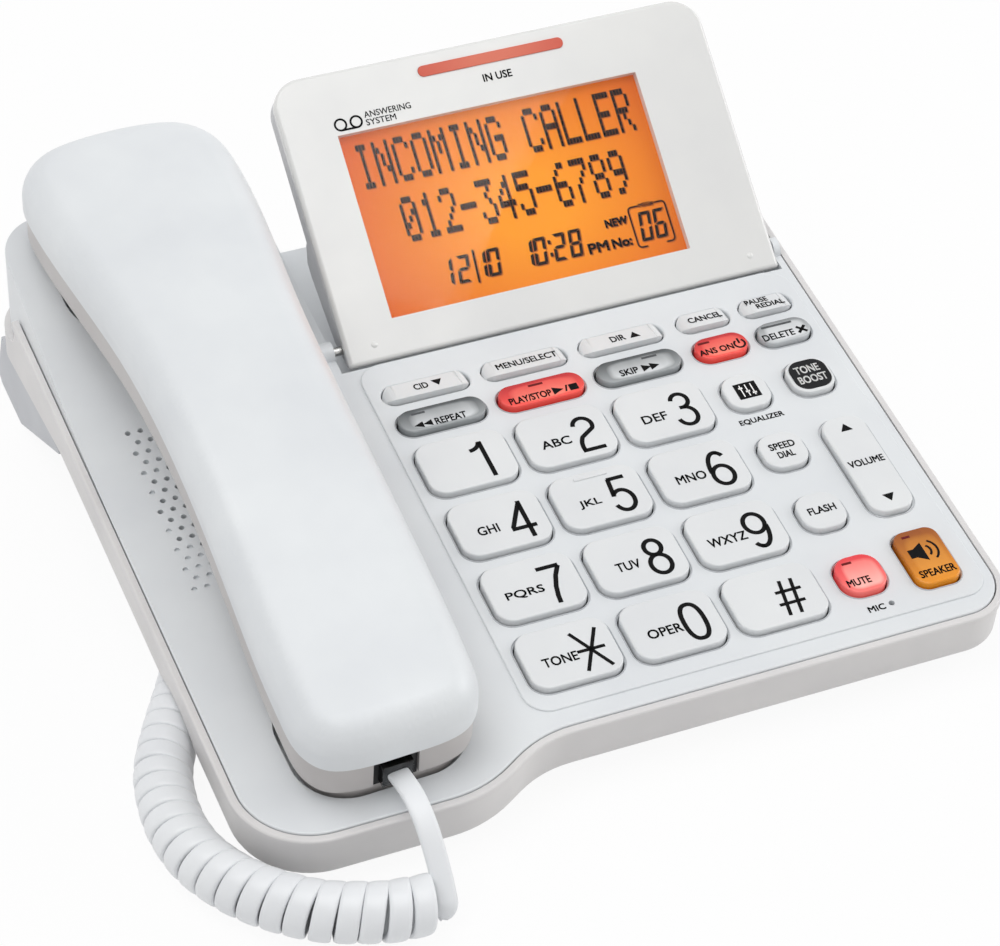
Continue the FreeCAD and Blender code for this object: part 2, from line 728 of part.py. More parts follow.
def display_rear_cover():
    """Back of the head with the pins' bosses inside."""
    x0, x1 = HEAD_LEFT + 0.3, HEAD_LEFT + HEAD_WIDTH - 0.3
    outer = side_prism(head_side(0), x0, x1).common(prism(head_outline(-0.3), -40, 0))
    outer = rounded(outer, 1.2, lambda p: abs(p.z + HEAD_THICK) < 1e-3 and p.y > HUB_TOP + 3.9)
    inner = side_prism(head_side(HEAD_WALL), x0 + HEAD_WALL, x1 - HEAD_WALL)
    inner = inner.common(prism(head_outline(-0.3 - HEAD_WALL), -40, 0))
    shell = outer.cut(inner)
    for start, end in hinge_ends():
        low, high = max(start, x0), min(end, x1)
        boss = cylinder(HINGE_BOSS, Vec(low, HINGE_Y, HINGE_Z), Vec(high, HINGE_Y, HINGE_Z))
        shell = shell.fuse(boss.common(outer))
        shell = shell.cut(cylinder(PIN_RADIUS, Vec(start, HINGE_Y, HINGE_Z), Vec(end, HINGE_Y, HINGE_Z)))
    floor = -PLATE_THICK - LCD_THICK - LIGHT_THICK
    for x in (LCD_X - LCD_WIDTH / 3, LCD_X + LCD_WIDTH / 3):
        for y in (LCD_Y - LCD_LENGTH / 3, LCD_Y + LCD_LENGTH / 3):
            low = -HEAD_HUB + 1 if y < HUB_TOP - 4 else -HEAD_THICK + 1
            shell = shell.fuse(cylinder(2.0, Vec(x, y, low), Vec(x, y, floor)))
    return shell.removeSplitter()


def head_to_base(shape):
    """From the display's frame to the deck frame."""
    moved = shape.copy()
    moved.rotate(vec(0, 0), vec(1, 0), HEAD_TILT)
    moved.translate(vec(0, HEAD_FOOT))
    return moved


def hinge_point():
    """The display's axis in the deck frame, as (y, z)."""
    turn = math.radians(HEAD_TILT)
    y = HEAD_FOOT + HINGE_Y * math.cos(turn) - HINGE_Z * math.sin(turn)
    z = HINGE_Y * math.sin(turn) + HINGE_Z * math.cos(turn)
    return y, z


# ---------------------------------------------------------------- base pieces
def rear_step(out):
    """The space behind the ledge's rounded end and above REAR_STEP_Z, grown by out."""
    low = REAR_STEP_Z - out
    near = REAR_STEP - out
    radius = REAR_STEP_RADIUS
    top = FRAME_Z + 40
    bend = Vec(-200, near + radius * (1 - math.sqrt(0.5)), low + radius * (1 - math.sqrt(0.5)))
    arc = Part.Arc(Vec(-200, near, low + radius), bend, Vec(-200, near + radius, low)).toShape()
    far = BASE_REAR + 30
    corners = [Vec(-200, near + radius, low), Vec(-200, far, low), Vec(-200, far, top), Vec(-200, near, top),
               Vec(-200, near, low + radius)]
    edges = [arc] + [Part.makeLine(a, b) for a, b in zip(corners, corners[1:])]
    return side_wire_prism(edges, -200, 200)


def recess_right():
    """Right side of the recess."""
    return HEAD_LEFT + HEAD_WIDTH + RECESS_SIDE_GAP


def recess(grow, top=60.0):
    """The display's recess, or its tub's outside when grown."""
    return recess_space(RECESS_LEFT - grow, recess_right() + grow, PLATE_REAR - grow, grow, top)


def key_holes(slab):
    """Cut every key's hole into the plate, with soft upper edges."""
    holes = [prism(key_outline(key, KEY_GAP), -20, 20) for key in key_table().values()]
    slab = slab.cut(Part.makeCompound(holes))
    x0, x1 = PLATE_LEFT + HOLE_INSET, PLATE_RIGHT - HOLE_INSET
    y0, y1 = PLATE_FRONT + HOLE_INSET, PLATE_REAR - HOLE_INSET
    edges = edges_where(slab, lambda p: abs(p.z) < 1e-4 and x0 < p.x < x1 and y0 < p.y < y1)
    return slab.makeFillet(HOLE_ROUND, edges)


def keypad_plate():
    """The keypad's plate with rounded edges and all its holes."""
    wire = rounded_rectangle(PLATE_LEFT, PLATE_RIGHT, PLATE_FRONT, PLATE_REAR, PLATE_CORNER)
    slab = rounded(prism(wire, -WALL, 0), PLATE_ROUND, at_level(0))
    slab = key_holes(slab)
    return slab.cut(cylinder(MIC_RADIUS, vec(MIC_X, MIC_Y, -10), vec(MIC_X, MIC_Y, 10)))


def grille_holes():
    """Through holes over the loudspeaker and dimples round it."""
    holes = []
    for row in range(GRILLE_ROWS):
        y = GRILLE_REAR - row * GRILLE_PITCH_Y
        for column in range(GRILLE_COLUMNS):
            x = GRILLE_LEFT + (column + 0.5 * (row % 2)) * GRILLE_PITCH_X
            reach = math.hypot(x - SPEAKER_X, y - SPEAKER_Y)
            low = FRAME_Z - WALL - 2 if reach < SPEAKER_RADIUS - SPEAKER_RIM else FRAME_Z - DIMPLE_DEPTH
            holes.append(cylinder(GRILLE_HOLE, vec(x, y, low), vec(x, y, FRAME_Z + 5)))
    return Part.makeCompound(holes)


def well(shape_at, floor, clearance):
    """A cup's well: the cup grown by a clearance, down to the seat under its floor."""
    return to_base(shape_at(clearance, floor - SEAT_GAP))


def wells():
    """Both wells as one shape to cut."""
    return well(ear_cup, EAR_FLOOR, WELL_GAP).fuse(well(mouth_cup, MOUTH_FLOOR, WELL_GAP))


def well_tubs():
    """The walls and floors that stand under the deck round the wells."""
    ear = to_base(ear_cup(WELL_GAP + WALL, EAR_FLOOR - SEAT_GAP - WALL))
    mouth = to_base(mouth_cup(WELL_GAP + WALL, MOUTH_FLOOR - SEAT_GAP - WALL))
    return ear.fuse(mouth)


def screw_places():
    """Case screws, as (x, y)."""
    rear = PLATE_REAR - 4.1
    return [(BASE_LEFT_FRONT + 6.4, 4), (PLATE_LEFT - 7.1, -30), (BASE_RIGHT - 6.2, BASE_FRONT + 6),
            (PLATE_LEFT + 8.4, rear), (PLATE_RIGHT - 10, rear), (-60, 98)]


def screw_seat(y):
    """Level that a case screw's head bears on."""
    return under_line(y) + FLOOR + 1.0


def hook_place():
    """Middle of the hook switch in the ear well, as (x, y)."""
    return HANDSET_X - 4.4, 127.0


def hook_box(out, low, high):
    """The hook switch's plunger, grown by out."""
    x, y = hook_place()
    half_width, half_length = HOOK_WIDTH / 2 + out, HOOK_LENGTH / 2 + out
    return box(x - half_width, x + half_width, y - half_length, y + half_length, low, high)


def hook_switch():
    """Plunger with a flange that stops it under the ear well's floor."""
    seat = EAR_FLOOR - SEAT_GAP
    flange_top = seat - WALL - HOOK_TRAVEL - 0.3
    flange = hook_box(1.2, flange_top - 2.2, flange_top)
    return hook_box(0, flange_top - 1, seat).fuse(flange).removeSplitter()


def cord_jack_roof(y):
    """Level of the ceiling over the handset cord's pocket."""
    return CORD_JACK_TOP if y > CORD_POCKET_STEP else CORD_JACK_TOP - 5.0


def cord_pocket(grow):
    """The pocket under the slab that takes the handset cord's plug, or its tub when grown."""
    x0, x1 = CORD_JACK_X - CORD_POCKET_HALF - grow, CORD_JACK_X + CORD_POCKET_HALF + grow
    y0, y1 = CORD_POCKET_FRONT - grow, CORD_JACK_FRONT + JACK_DEPTH + 2 + grow
    step = CORD_POCKET_STEP - grow
    low = -40 if not grow else BOTTOM_Z - 4
    front = box(x0, x1, y0, step, low, cord_jack_roof(y0) + grow)
    rear = box(x0, x1, step, y1, low, cord_jack_roof(y1) + grow)
    return front.fuse(rear)


def rim_top():
    """Level of the ledge round the seam."""
    return FRAME_Z - 0.2


def bottom_block():
    """The outside of the bottom housing with its ledge."""
    split = rim_top() - RIM_HEIGHT
    side = prism(base_outline(SIDE_OUT), -30, split).common(above_underside(0))
    low = []
    for edge in edges_where(side, lambda p: abs(p.z - under_line(p.y)) < 1e-3):
        bounds = edge.BoundBox
        if abs(bounds.Center.y - BOTTOM_KNEE) > 1e-3 or bounds.YLength > 1e-3:
            low.append(edge)
    side = side.makeFillet(BOTTOM_ROUND, low)
    rim = prism(base_outline(RIM_OUT), split, rim_top())
    rim = rounded(rim, RIM_ROUND, at_level(rim_top()))
    return side.fuse(rim)


def top_housing():
    """Deck, keypad plate, cradle with its wells and the display's recess in one moulding."""
    deck = rounded(prism(base_outline(), SKIRT_Z, FRAME_Z), DECK_ROUND, at_level(FRAME_Z))
    rise = hump(0).common(box(-200, 0, 0, 200, SKIRT_Z, 60))
    skirt = prism(base_outline(), REAR_STEP_Z, FRAME_Z - 1).cut(prism(base_outline(-WALL), -60, 0))
    skirt = skirt.common(rear_step(0))
    outside = deck.fuse(rise)
    core = outside.fuse(prism(base_outline(-SIDE_IN - SEAM_GAP), -40, FRAME_Z - 1))
    body = outside.fuse(skirt).cut(prism(base_outline(-WALL), -60, FRAME_Z - WALL)).cut(hump(WALL))
    inner = [well_tubs()]
    inner.append(ring((SPEAKER_X, SPEAKER_Y), SPEAKER_RADIUS + SPEAKER_RIB, SPEAKER_RADIUS + 0.1,
                      FRAME_Z - WALL - SPEAKER_RIB_DROP, FRAME_Z - 1))
    for x, y in screw_places():
        inner.append(cylinder(BOSS_RADIUS, vec(x, y, SCREW_MEET), vec(x, y, 40)))
    for shape in inner:
        body = body.fuse(shape.common(core))
    body = body.fuse(recess(RECESS_WALL, FRAME_Z - 0.1).common(prism(base_outline(), -60, 0)))
    y, z = hinge_point()
    for x0, x1 in ((RECESS_LEFT - HINGE_EAR_WIDTH, RECESS_LEFT), (recess_right(), BASE_RIGHT - 0.2)):
        body = body.fuse(cylinder(HINGE_EAR, Vec(x0, y, z), Vec(x1, y, z)))
    window = rounded_rectangle(PLATE_LEFT, PLATE_RIGHT, PLATE_FRONT, PLATE_REAR, PLATE_CORNER)
    window = grown(window, -1)
    body = body.cut(wells()).cut(recess(0)).cut(prism(window, -10, 10))
    body = body.fuse(keypad_plate())
    for x, y in screw_places():
        body = body.cut(cylinder(SCREW_RADIUS, vec(x, y, -30), vec(x, y, SCREW_TOP)))
    openings = [hook_box(HOOK_FIT, -30, 30), hinge_bores(), line_jack_opening(), power_opening()]
    return body.cut(Part.makeCompound(openings)).cut(grille_holes()).removeSplitter()


def hinge_bores():
    """Blind bores for the display's pins in the recess's side walls."""
    y, z = hinge_point()
    ends = hinge_ends()
    left = cylinder(PIN_RADIUS + PIN_FIT, Vec(ends[0][0] - 0.3, y, z), Vec(RECESS_LEFT + 1, y, z))
    right = cylinder(PIN_RADIUS + PIN_FIT, Vec(recess_right() - 1, y, z), Vec(ends[1][1] + 0.2, y, z))
    return Part.makeCompound([left, right])


def line_jack_opening():
    """The line jack's window in the rear skirt."""
    half = JACK_WIDTH / 2 - 1.0
    return box(LINE_JACK_X - half, LINE_JACK_X + half, BASE_REAR - 8, BASE_REAR + 8, REAR_STEP_Z - 1, -1.2)


def power_opening():
    """The power plug's way through the rear skirt, a notch with a round top."""
    z = power_axis()
    half = POWER_BORE + POWER_CLEAR
    start, end = vec(POWER_JACK_X, BASE_REAR - 8, z), vec(POWER_JACK_X, BASE_REAR + 8, z)
    foot_of_notch = box(POWER_JACK_X - half, POWER_JACK_X + half, start.y, end.y, REAR_STEP_Z - 1, z)
    return cylinder(half, start, end).fuse(foot_of_notch)


def cord_trough(grow):
    """A shallow channel under the slab for the coil, or its roof when grown."""
    start, end = TROUGH_START, TROUGH_END
    channel = cylinder(COIL_DIAMETER / 2 + TROUGH_GAP + grow, Vec(*start, COIL_DIAMETER / 2),
                       Vec(*end, COIL_DIAMETER / 2))
    return from_floor(channel)


def bottom_housing():
    """Floor, sides and ledge of the base, with posts, pockets and slots."""
    body = bottom_block()
    low = prism(base_outline(-SIDE_IN), -40, 20).common(above_underside(FLOOR))
    high = prism(base_outline(SEAM_GAP), SKIRT_Z - SEAM_GAP, 20)
    body = body.cut(low).cut(high)
    inside = prism(base_outline(-SIDE_IN + 0.5), -40, 20).common(above_underside(0.5))
    posts = []
    for x, y in screw_places():
        posts.append(cylinder(POST_RADIUS + 0.6, vec(x, y, -30), vec(x, y, SCREW_MEET - 0.05)))
    for x, y in board_posts():
        posts.append(cylinder(POST_RADIUS, vec(x, y, -30), vec(x, y, board_low())))
    shelf_x0, shelf_x1 = LINE_JACK_X - 8, POWER_JACK_X + 8
    posts.append(box(shelf_x0, shelf_x1, BASE_REAR - 13, BASE_REAR - 4, -30, REAR_STEP_Z + 0.45))
    posts.append(cord_pocket(POCKET_WALL))
    posts.append(cord_trough(POCKET_WALL))
    for x, y in front_feet():
        posts.append(cylinder(FOOT_RADIUS + 2, vec(x, y, -30), vec(x, y, BOTTOM_Z + FLOOR + 1.2)))
    for post in posts:
        body = body.fuse(post.common(inside))
    body = body.cut(rear_step(SEAM_GAP)).cut(recess(RECESS_WALL + SEAM_GAP))
    body = body.cut(cord_pocket(0)).cut(cord_trough(0))
    for x, y in screw_places():
        body = body.cut(cylinder(SCREW_RADIUS + 0.15, vec(x, y, -40), vec(x, y, 0)))
        body = body.cut(cylinder(SCREW_HEAD + 0.3, vec(x, y, -40), vec(x, y, screw_seat(y))))
    for tab in stand_tabs(TAB_FIT):
        body = body.cut(from_floor(tab))
    for x, y in front_feet():
        body = body.cut(from_floor(foot(x, y, 0.05)))
    return body.removeSplitter()


def screw(x, y, head_top, tip):
    """One upright screw, its head below."""
    low = vec(x, y, head_top - SCREW_HEAD_THICK)
    head = cylinder(SCREW_HEAD, low, vec(x, y, head_top))
    return head.fuse(cylinder(SCREW_RADIUS, low, vec(x, y, tip))).removeSplitter()


def housing_screws():
    """Screws that hold the two housings together."""
    return Part.makeCompound([screw(x, y, screw_seat(y), SCREW_TOP) for x, y in screw_places()])


# ---------------------------------------------------------------- boards, loudspeaker, jacks
def mat_top():
    """Top of the key mat: a key at the end of its travel stays just above it."""
    return -WALL - FLANGE_GAP - FLANGE_THICK - KEY_TRAVEL - MAT_GAP


def board_low():
    return mat_top() - MAT_THICK - BOARD_THICK


def board_plan(z0, z1):
    return box(PLATE_LEFT + BOARD_MARGIN, PLATE_RIGHT - BOARD_MARGIN, PLATE_FRONT + BOARD_FRONT_MARGIN,
               PLATE_REAR - BOARD_REAR_MARGIN, z0, z1)


def board_posts():
    """Posts under the board, as (x, y)."""
    middle = (PLATE_LEFT + PLATE_RIGHT) / 2
    left, right = PLATE_LEFT + BOARD_MARGIN + 6, PLATE_RIGHT - BOARD_MARGIN - 6
    front, rear = PLATE_FRONT + BOARD_FRONT_MARGIN + 6, PLATE_REAR - BOARD_REAR_MARGIN - 6
    return [(left, front), (middle, front), (right, front), (left, rear), (middle, rear), (right, rear)]


def main_board():
    return board_plan(board_low(), board_low() + BOARD_THICK)


def key_mat():
    """Sheet of soft rubber on the board."""
    return board_plan(mat_top() - MAT_THICK, mat_top())


def status_leds():
    """Small lights on the mat under the clear keys."""
    lights = []
    for name, key in key_table().items():
        x, y, width, length, _, kind = key
        if kind == "clear":
            left = x - width / 2 + KEY_WALL + LED_SIDE
            rear = y + length / 2 - KEY_WALL - LED_REAR
            low = mat_top()
            lights.append(box(left, left + LED_SIZE, rear - LED_SIZE, rear, low, low + LED_HEIGHT))
    return Part.makeCompound(lights)


def loudspeaker():
    """Flange, cone and magnet, hung face up under the grille."""
    top = FRAME_Z - WALL - 0.05
    low = top - SPEAKER_DEPTH
    levels = [vec(SPEAKER_X, SPEAKER_Y, z) for z in (low, low + 2.6, low + 3, top - 2, top)]
    magnet = cylinder(MAGNET_RADIUS, levels[0], levels[2])
    height = levels[3].z - levels[1].z
    cone = Part.makeCone(MAGNET_RADIUS, SPEAKER_RADIUS - SPEAKER_RIM, height, levels[1])
    flange = cylinder(SPEAKER_RADIUS, levels[3], levels[4])
    return flange.fuse(cone).fuse(magnet).removeSplitter()


def rear_jack_span():
    """Deck Y of the rear jacks' backs and faces."""
    face = BASE_REAR - WALL - 0.05
    return face - JACK_DEPTH - 1, face


def line_jack():
    """Modular jack for the line, open to the rear."""
    y0, y1 = rear_jack_span()
    low = REAR_STEP_Z + 0.5
    z = low + LINE_JACK_HEIGHT / 2
    half = LINE_JACK_WIDTH / 2
    block = box(LINE_JACK_X - half, LINE_JACK_X + half, y0, y1, low, low + LINE_JACK_HEIGHT)
    socket = box(LINE_JACK_X - 3.4, LINE_JACK_X + 3.4, y1 - 9.5, y1 + 2, z - 3.0, z + 3.0)
    key = box(LINE_JACK_X - 1.6, LINE_JACK_X + 1.6, y1 - 9.5, y1 + 2, z - 4.4, z)
    return block.cut(socket).cut(key)


def power_axis():
    """Level of the power jack's axis."""
    return REAR_STEP_Z + 0.5 + POWER_JACK_SIZE / 2


def power_jack():
    """Round jack for the power plug, open to the rear."""
    y0, y1 = rear_jack_span()
    half = POWER_JACK_SIZE / 2
    z = power_axis()
    block = box(POWER_JACK_X - half, POWER_JACK_X + half, y0, y1, z - half, z + half)
    start, end = vec(POWER_JACK_X, y1 - POWER_DEPTH, z), vec(POWER_JACK_X, y1 + 1, z)
    return block.cut(cylinder(POWER_BORE, start, end))


def cord_jack_axis():
    """Level of the handset cord jack's axis under the base."""
    return CORD_JACK_TOP - 0.05 - JACK_HEIGHT / 2


def cord_jack():
    """The handset cord's jack under the base, open towards the front."""
    return jack_block(CORD_JACK_X, CORD_JACK_FRONT, cord_jack_axis())


def base_cord_plug():
    """The cord's plug in the jack under the base."""
    rear = plug_rear(CORD_JACK_FRONT)
    return plug_box(CORD_JACK_X, rear - PLUG_LENGTH, rear, cord_jack_axis())


# ---------------------------------------------------------------- stand and feet
def from_floor(shape):
    """From the floor's frame, level and with Z = 0 on the floor, to the deck frame."""
    moved = shape.copy()
    moved.translate(vec(0, 0, -DECK_HEIGHT))
    moved.rotate(vec(0, 0), vec(1, 0), -DECK_TILT)
    return moved


def to_floor(y, z):
    """A deck point's Y and Z in the floor's frame."""
    turn = math.radians(DECK_TILT)
    return y * math.cos(turn) - z * math.sin(turn), y * math.sin(turn) + z * math.cos(turn) + DECK_HEIGHT


def stand_corners():
    """Side view of the stand in the floor's frame: two upper corners, then two lower ones."""
    front = to_floor(BOTTOM_KNEE, BOTTOM_Z)
    rear = to_floor(BASE_REAR, BOTTOM_REAR_Z)
    return front, rear, (STAND_FOOT_REAR, STAND_LIFT), (STAND_FOOT_FRONT, STAND_LIFT)


def stand_profile(inset):
    """The stand's side view as a rounded wire in the plane of X and Y, shrunk by inset."""
    front, rear, low_rear, low_front = stand_corners()
    radius = STAND_ROUND
    wire = rounded_outline([(*front, 0.6), (*low_front, radius), (*low_rear, radius), (*rear, 0.6)])
    return grown(wire, -inset)


def turn_upright(shape, x):
    """From a drawing of (y, z) in the plane of X and Y to the side view at x."""
    moved = shape.copy()
    moved.rotate(vec(0, 0), vec(1, 1, 1), 120)
    moved.translate(vec(x, 0))
    return moved


def stand_span():
    """X of the stand's two ends."""
    return BASE_LEFT_REAR - SIDE_OUT + 1.5, BASE_RIGHT + SIDE_OUT - 0.6


def rib_places():
    """X of the stand's ribs."""
    x0, x1 = stand_span()
    return [x0 + (x1 - x0) * share / 3 for share in (1, 2)]


def stand_mouth(x0, x1):
    """The stand's opening towards the slab."""
    front, rear = stand_corners()[:2]
    start, end = front[0] + 9, rear[0] - STAND_WALL - 2
    outline = [(start, front[1] - 4), (end, rear[1] - 4), (end, rear[1] + 3), (start, front[1] + 3)]
    return side_prism(outline, x0, x1)


def stand_tabs(out):
    """Tabs on the ribs that clip the stand into the slab, in the floor's frame, grown by out."""
    tabs = []
    for x in rib_places():
        for y in (BOTTOM_KNEE + 14, BASE_REAR - 12):
            y_low, z_low = to_floor(y, under_line(y))
            half = TAB_LENGTH / 2 + out
            tabs.append(box(x - out, x + STAND_WALL + out, y_low - half, y_low + half,
                            z_low - 3, z_low + FLOOR - 0.6 + out))
    return tabs


def desk_stand():
    """Wedge under the rear: a hollow shell with two ribs, open towards the slab."""
    x0, x1 = stand_span()
    shell = turn_upright(prism(stand_profile(0), 0, x1 - x0), x0)
    hollow = turn_upright(prism(stand_profile(STAND_WALL), 0, x1 - x0 - 2 * STAND_WALL), x0 + STAND_WALL)
    shell = shell.cut(hollow.fuse(stand_mouth(x0 + STAND_WALL, x1 - STAND_WALL)))
    for x in rib_places():
        shell = shell.fuse(turn_upright(prism(stand_profile(0.3), 0, STAND_WALL), x))
    for tab in stand_tabs(0):
        shell = shell.fuse(tab)
    for x, y in rear_feet():
        shell = shell.cut(cylinder(FOOT_RADIUS + 0.05, vec(x, y, -1), vec(x, y, STAND_LIFT + FOOT_SEAT)))
    return shell.removeSplitter()


def front_feet():
    """Front feet, as (x, y) in the deck frame."""
    return [(BASE_LEFT_FRONT + 26, LOBE_FRONT + 17), (BASE_RIGHT - 15, BASE_FRONT + 15)]


def rear_feet():
    """Rear feet, as (x, y) in the floor's frame."""
    y = (STAND_FOOT_FRONT + STAND_FOOT_REAR) / 2
    return [(BASE_LEFT_REAR + 16, y), (BASE_RIGHT - 16, y)]


def foot(x, y, out):
    """A front foot below a deck point, upright on the floor, in the floor's frame."""
    y_floor, z_floor = to_floor(y, BOTTOM_Z)
    return cylinder(FOOT_RADIUS + out, vec(x, y_floor, 0), vec(x, y_floor, z_floor + FOOT_SEAT))


def rubber_feet():
    """All four feet, in the floor's frame."""
    feet = [foot(x, y, 0) for x, y in front_feet()]
    feet += [cylinder(FOOT_RADIUS, vec(x, y, 0), vec(x, y, STAND_LIFT + FOOT_SEAT)) for x, y in rear_feet()]
    return Part.makeCompound(feet)


# ---------------------------------------------------------------- display pieces
def display_window():
    """Clear window in the front plate, resting on the panel."""
    return lcd_box(-WINDOW_FIT, -PLATE_THICK, -WINDOW_SINK)


def lcd_panel():
    return lcd_box(LCD_LAP, -PLATE_THICK - LCD_THICK, -PLATE_THICK)


def backlight_panel():
    top = -PLATE_THICK - LCD_THICK
    return lcd_box(-LIGHT_INSET, top - LIGHT_THICK, top)


def in_use_lamp():
    """Light bar with a flange behind the plate."""
    bar = prism(lamp_wire(-WINDOW_FIT), -PLATE_THICK - 0.5, LAMP_RISE)
    return bar.fuse(prism(lamp_wire(0.8), -PLATE_THICK - 1.5, -PLATE_THICK)).removeSplitter()


# ---------------------------------------------------------------- handset pieces
def level_at(points, y):
    """A side-view curve's level at a Y, between its points."""
    for (y0, z0), (y1, z1) in zip(points, points[1:]):
        if y0 <= y <= y1:
            return z0 + (z1 - z0) * (y - y0) / (y1 - y0)
    return points[-1][1]


def handset_screw_places():
    """Handset screws along its middle, as Y."""
    return [EAR_Y - 38.0, MOUTH_Y + 32.0]


def handset_top_shell():
    """The back of the handset with its screw bosses."""
    shell = upper_block(0).cut(upper_block(HANDSET_SKIN))
    for y in handset_screw_places():
        split = level_at(parting(), y)
        top = level_at(handset_back(), y)
        shell = shell.fuse(cylinder(BOSS_RADIUS, vec(0, y, split + 0.6), vec(0, y, top - HANDSET_SKIN + 0.5)))
        shell = shell.cut(cylinder(SCREW_RADIUS, vec(0, y, 0), vec(0, y, split + SCREW_REACH)))
    return shell.removeSplitter()


def handset_bottom_shell():
    """Grip, ear cup and mouth cup of the handset."""
    shell = lower_block(0).cut(lower_block(HANDSET_SKIN))
    for y in handset_screw_places():
        split = level_at(parting(), y)
        post = cylinder(POST_RADIUS + 1, vec(0, y, split - GRIP_DEPTH + 1), vec(0, y, split + 0.4))
        shell = shell.fuse(post)
        shell = shell.cut(cylinder(SCREW_RADIUS + 0.15, vec(0, y, -20), vec(0, y, 60)))
        shell = shell.cut(cylinder(SCREW_HEAD + 0.2, vec(0, y, -20), vec(0, y, split - GRIP_DEPTH + 3)))
    shell = shell.cut(handset_jack_box(0.02).fuse(handset_jack_box(0.02).translated(vec(0, -3))))
    for x, y, floor in sound_holes():
        low, high = vec(x, y, floor - 1), vec(x, y, floor + HANDSET_SKIN + 1)
        shell = shell.cut(cylinder(SOUND_HOLE, low, high))
    return shell.removeSplitter()


def sound_holes():
    """Holes in the cups' floors, as (x, y, floor)."""
    holes = [(x, MOUTH_Y, MOUTH_FLOOR) for x in (-SOUND_SPREAD, 0, SOUND_SPREAD)]
    for angle in range(0, 360, 60):
        turn = math.radians(angle)
        holes.append((SOUND_SPREAD * math.cos(turn), EAR_Y + SOUND_SPREAD * math.sin(turn), EAR_FLOOR))
    return holes


def handset_receiver():
    floor = EAR_FLOOR + HANDSET_SKIN
    return cylinder(RECEIVER_RADIUS, vec(0, EAR_Y, floor), vec(0, EAR_Y, floor + RECEIVER_THICK))


def handset_microphone():
    floor = MOUTH_FLOOR + HANDSET_SKIN
    return cylinder(CAPSULE_RADIUS, vec(0, MOUTH_Y, floor), vec(0, MOUTH_Y, floor + CAPSULE_THICK))


def handset_screws():
    screws = []
    for y in handset_screw_places():
        split = level_at(parting(), y)
        screws.append(screw(0, y, split - GRIP_DEPTH + 3, split + SCREW_REACH))
    return Part.makeCompound(screws)


def handset_jack_axis():
    """Level of the handset jack's axis."""
    return MOUTH_FLOOR + HANDSET_JACK_RISE


def handset_jack():
    return jack_block(HANDSET_JACK_X, HANDSET_FACE, handset_jack_axis())


def handset_cord_plug():
    rear = plug_rear(HANDSET_FACE)
    return plug_box(HANDSET_JACK_X, rear - PLUG_LENGTH, rear, handset_jack_axis())


# ---------------------------------------------------------------- cord
def cord_tube(points, diameter, name):
    """A tube along straight runs joined by tangent arcs, as large as the runs allow."""
    path = [Vec(*point) for point in points]
    edges = []
    start = path[0]
    radii = []
    for before, here, after in zip(path, path[1:], path[2:]):
        back, ahead = before - here, after - here
        shorter = min(back.Length, ahead.Length)
        half = (math.pi - back.getAngle(ahead)) / 2
        back.normalize()
        ahead.normalize()
        reach = 0.45 * shorter
        radius = reach / math.tan(half)
        middle = back + ahead
        middle.normalize()
        enter, leave = here + back * reach, here + ahead * reach
        bend = here + middle * (radius / math.cos(half) - radius)
        edges.append(Part.LineSegment(start, enter).toShape())
        edges.append(Part.Arc(enter, bend, leave).toShape())
        start = leave
        radii.append(radius)
    edges.append(Part.LineSegment(start, path[-1]).toShape())
    route = Part.Wire(edges)
    section = Part.Wire([Part.Circle(path[0], path[1] - path[0], diameter / 2).toShape()])
    tube = route.makePipeShell([section], True, False)
    expected = math.pi * diameter ** 2 / 4 * route.Length
    print(name, "radii", [round(radius, 1) for radius in radii], "length", round(route.Length, 1),
          "volume over section x length", round(tube.Volume / expected, 4))
    return tube


def coil_route():
    """Middle of the coil on the floor, from the handset's end to the end under the base."""
    front = [(-71.8, -74.8), (-80.5, -74.9), (-89.0, -71.8), (-96.7, -68.4), (-102.9, -63.6)]
    corner = [(-109.2, -57.4), (-114.5, -49.5), (-118.2, -40.8), (-119.6, -30.8)]
    side = [(-119.0, -21.1), (-117.2, -12.2), (-113.2, -3.4), (-108.1, 5.9)]
    under = [(-103.6, 13.6), (-99.4, 22.1), (-94.5, 31.5), (-91.0, 39.5), (-89.9, 46.5)]
    plan = front + corner + side + under
    return [(x, y, COIL_DIAMETER / 2) for x, y in plan]


def handset_lead_route():
    """From the handset's plug down to the coil's end, in the floor's frame."""
    over_the_edge = [(-70.4, -55.0, 24.4), (-70.1, -60.6, 23.3), (-69.8, -65.2, 20.3)]
    down = [(-69.5, -69.0, 15.8), (-69.3, -74.0, 9.2), (-69.5, -77.6, 3.2)]
    return [plug_end()] + over_the_edge + down


def base_lead_route():
    """From the coil's end under the base up to the plug in its pocket, in the floor's frame."""
    rising = [(-88.7, 54.2, 7.25), (-88.9, 61.7, 9.3), (-89.7, 68.6, 13.2)]
    into_the_pocket = [(-90.7, 75.4, 17.8), (-91.5, 82.4, 22.4), (-92.0, 89.7, 26.5)]
    return [coil_route()[-1]] + rising + into_the_pocket + [base_plug_end()]


def plug_end():
    """Where the lead leaves the handset's plug, in the floor's frame."""
    front = handset_cord_plug().BoundBox.YMin
    turn = math.radians(HANDSET_TURN)
    x = HANDSET_X + HANDSET_JACK_X * math.cos(turn) - front * math.sin(turn)
    y = HANDSET_JACK_X * math.sin(turn) + front * math.cos(turn)
    return (x, *to_floor(y, handset_jack_axis()))


def base_plug_end():
    """Where the lead leaves the plug under the base, in the floor's frame."""
    return (CORD_JACK_X, *to_floor(base_cord_plug().BoundBox.YMin, cord_jack_axis()))


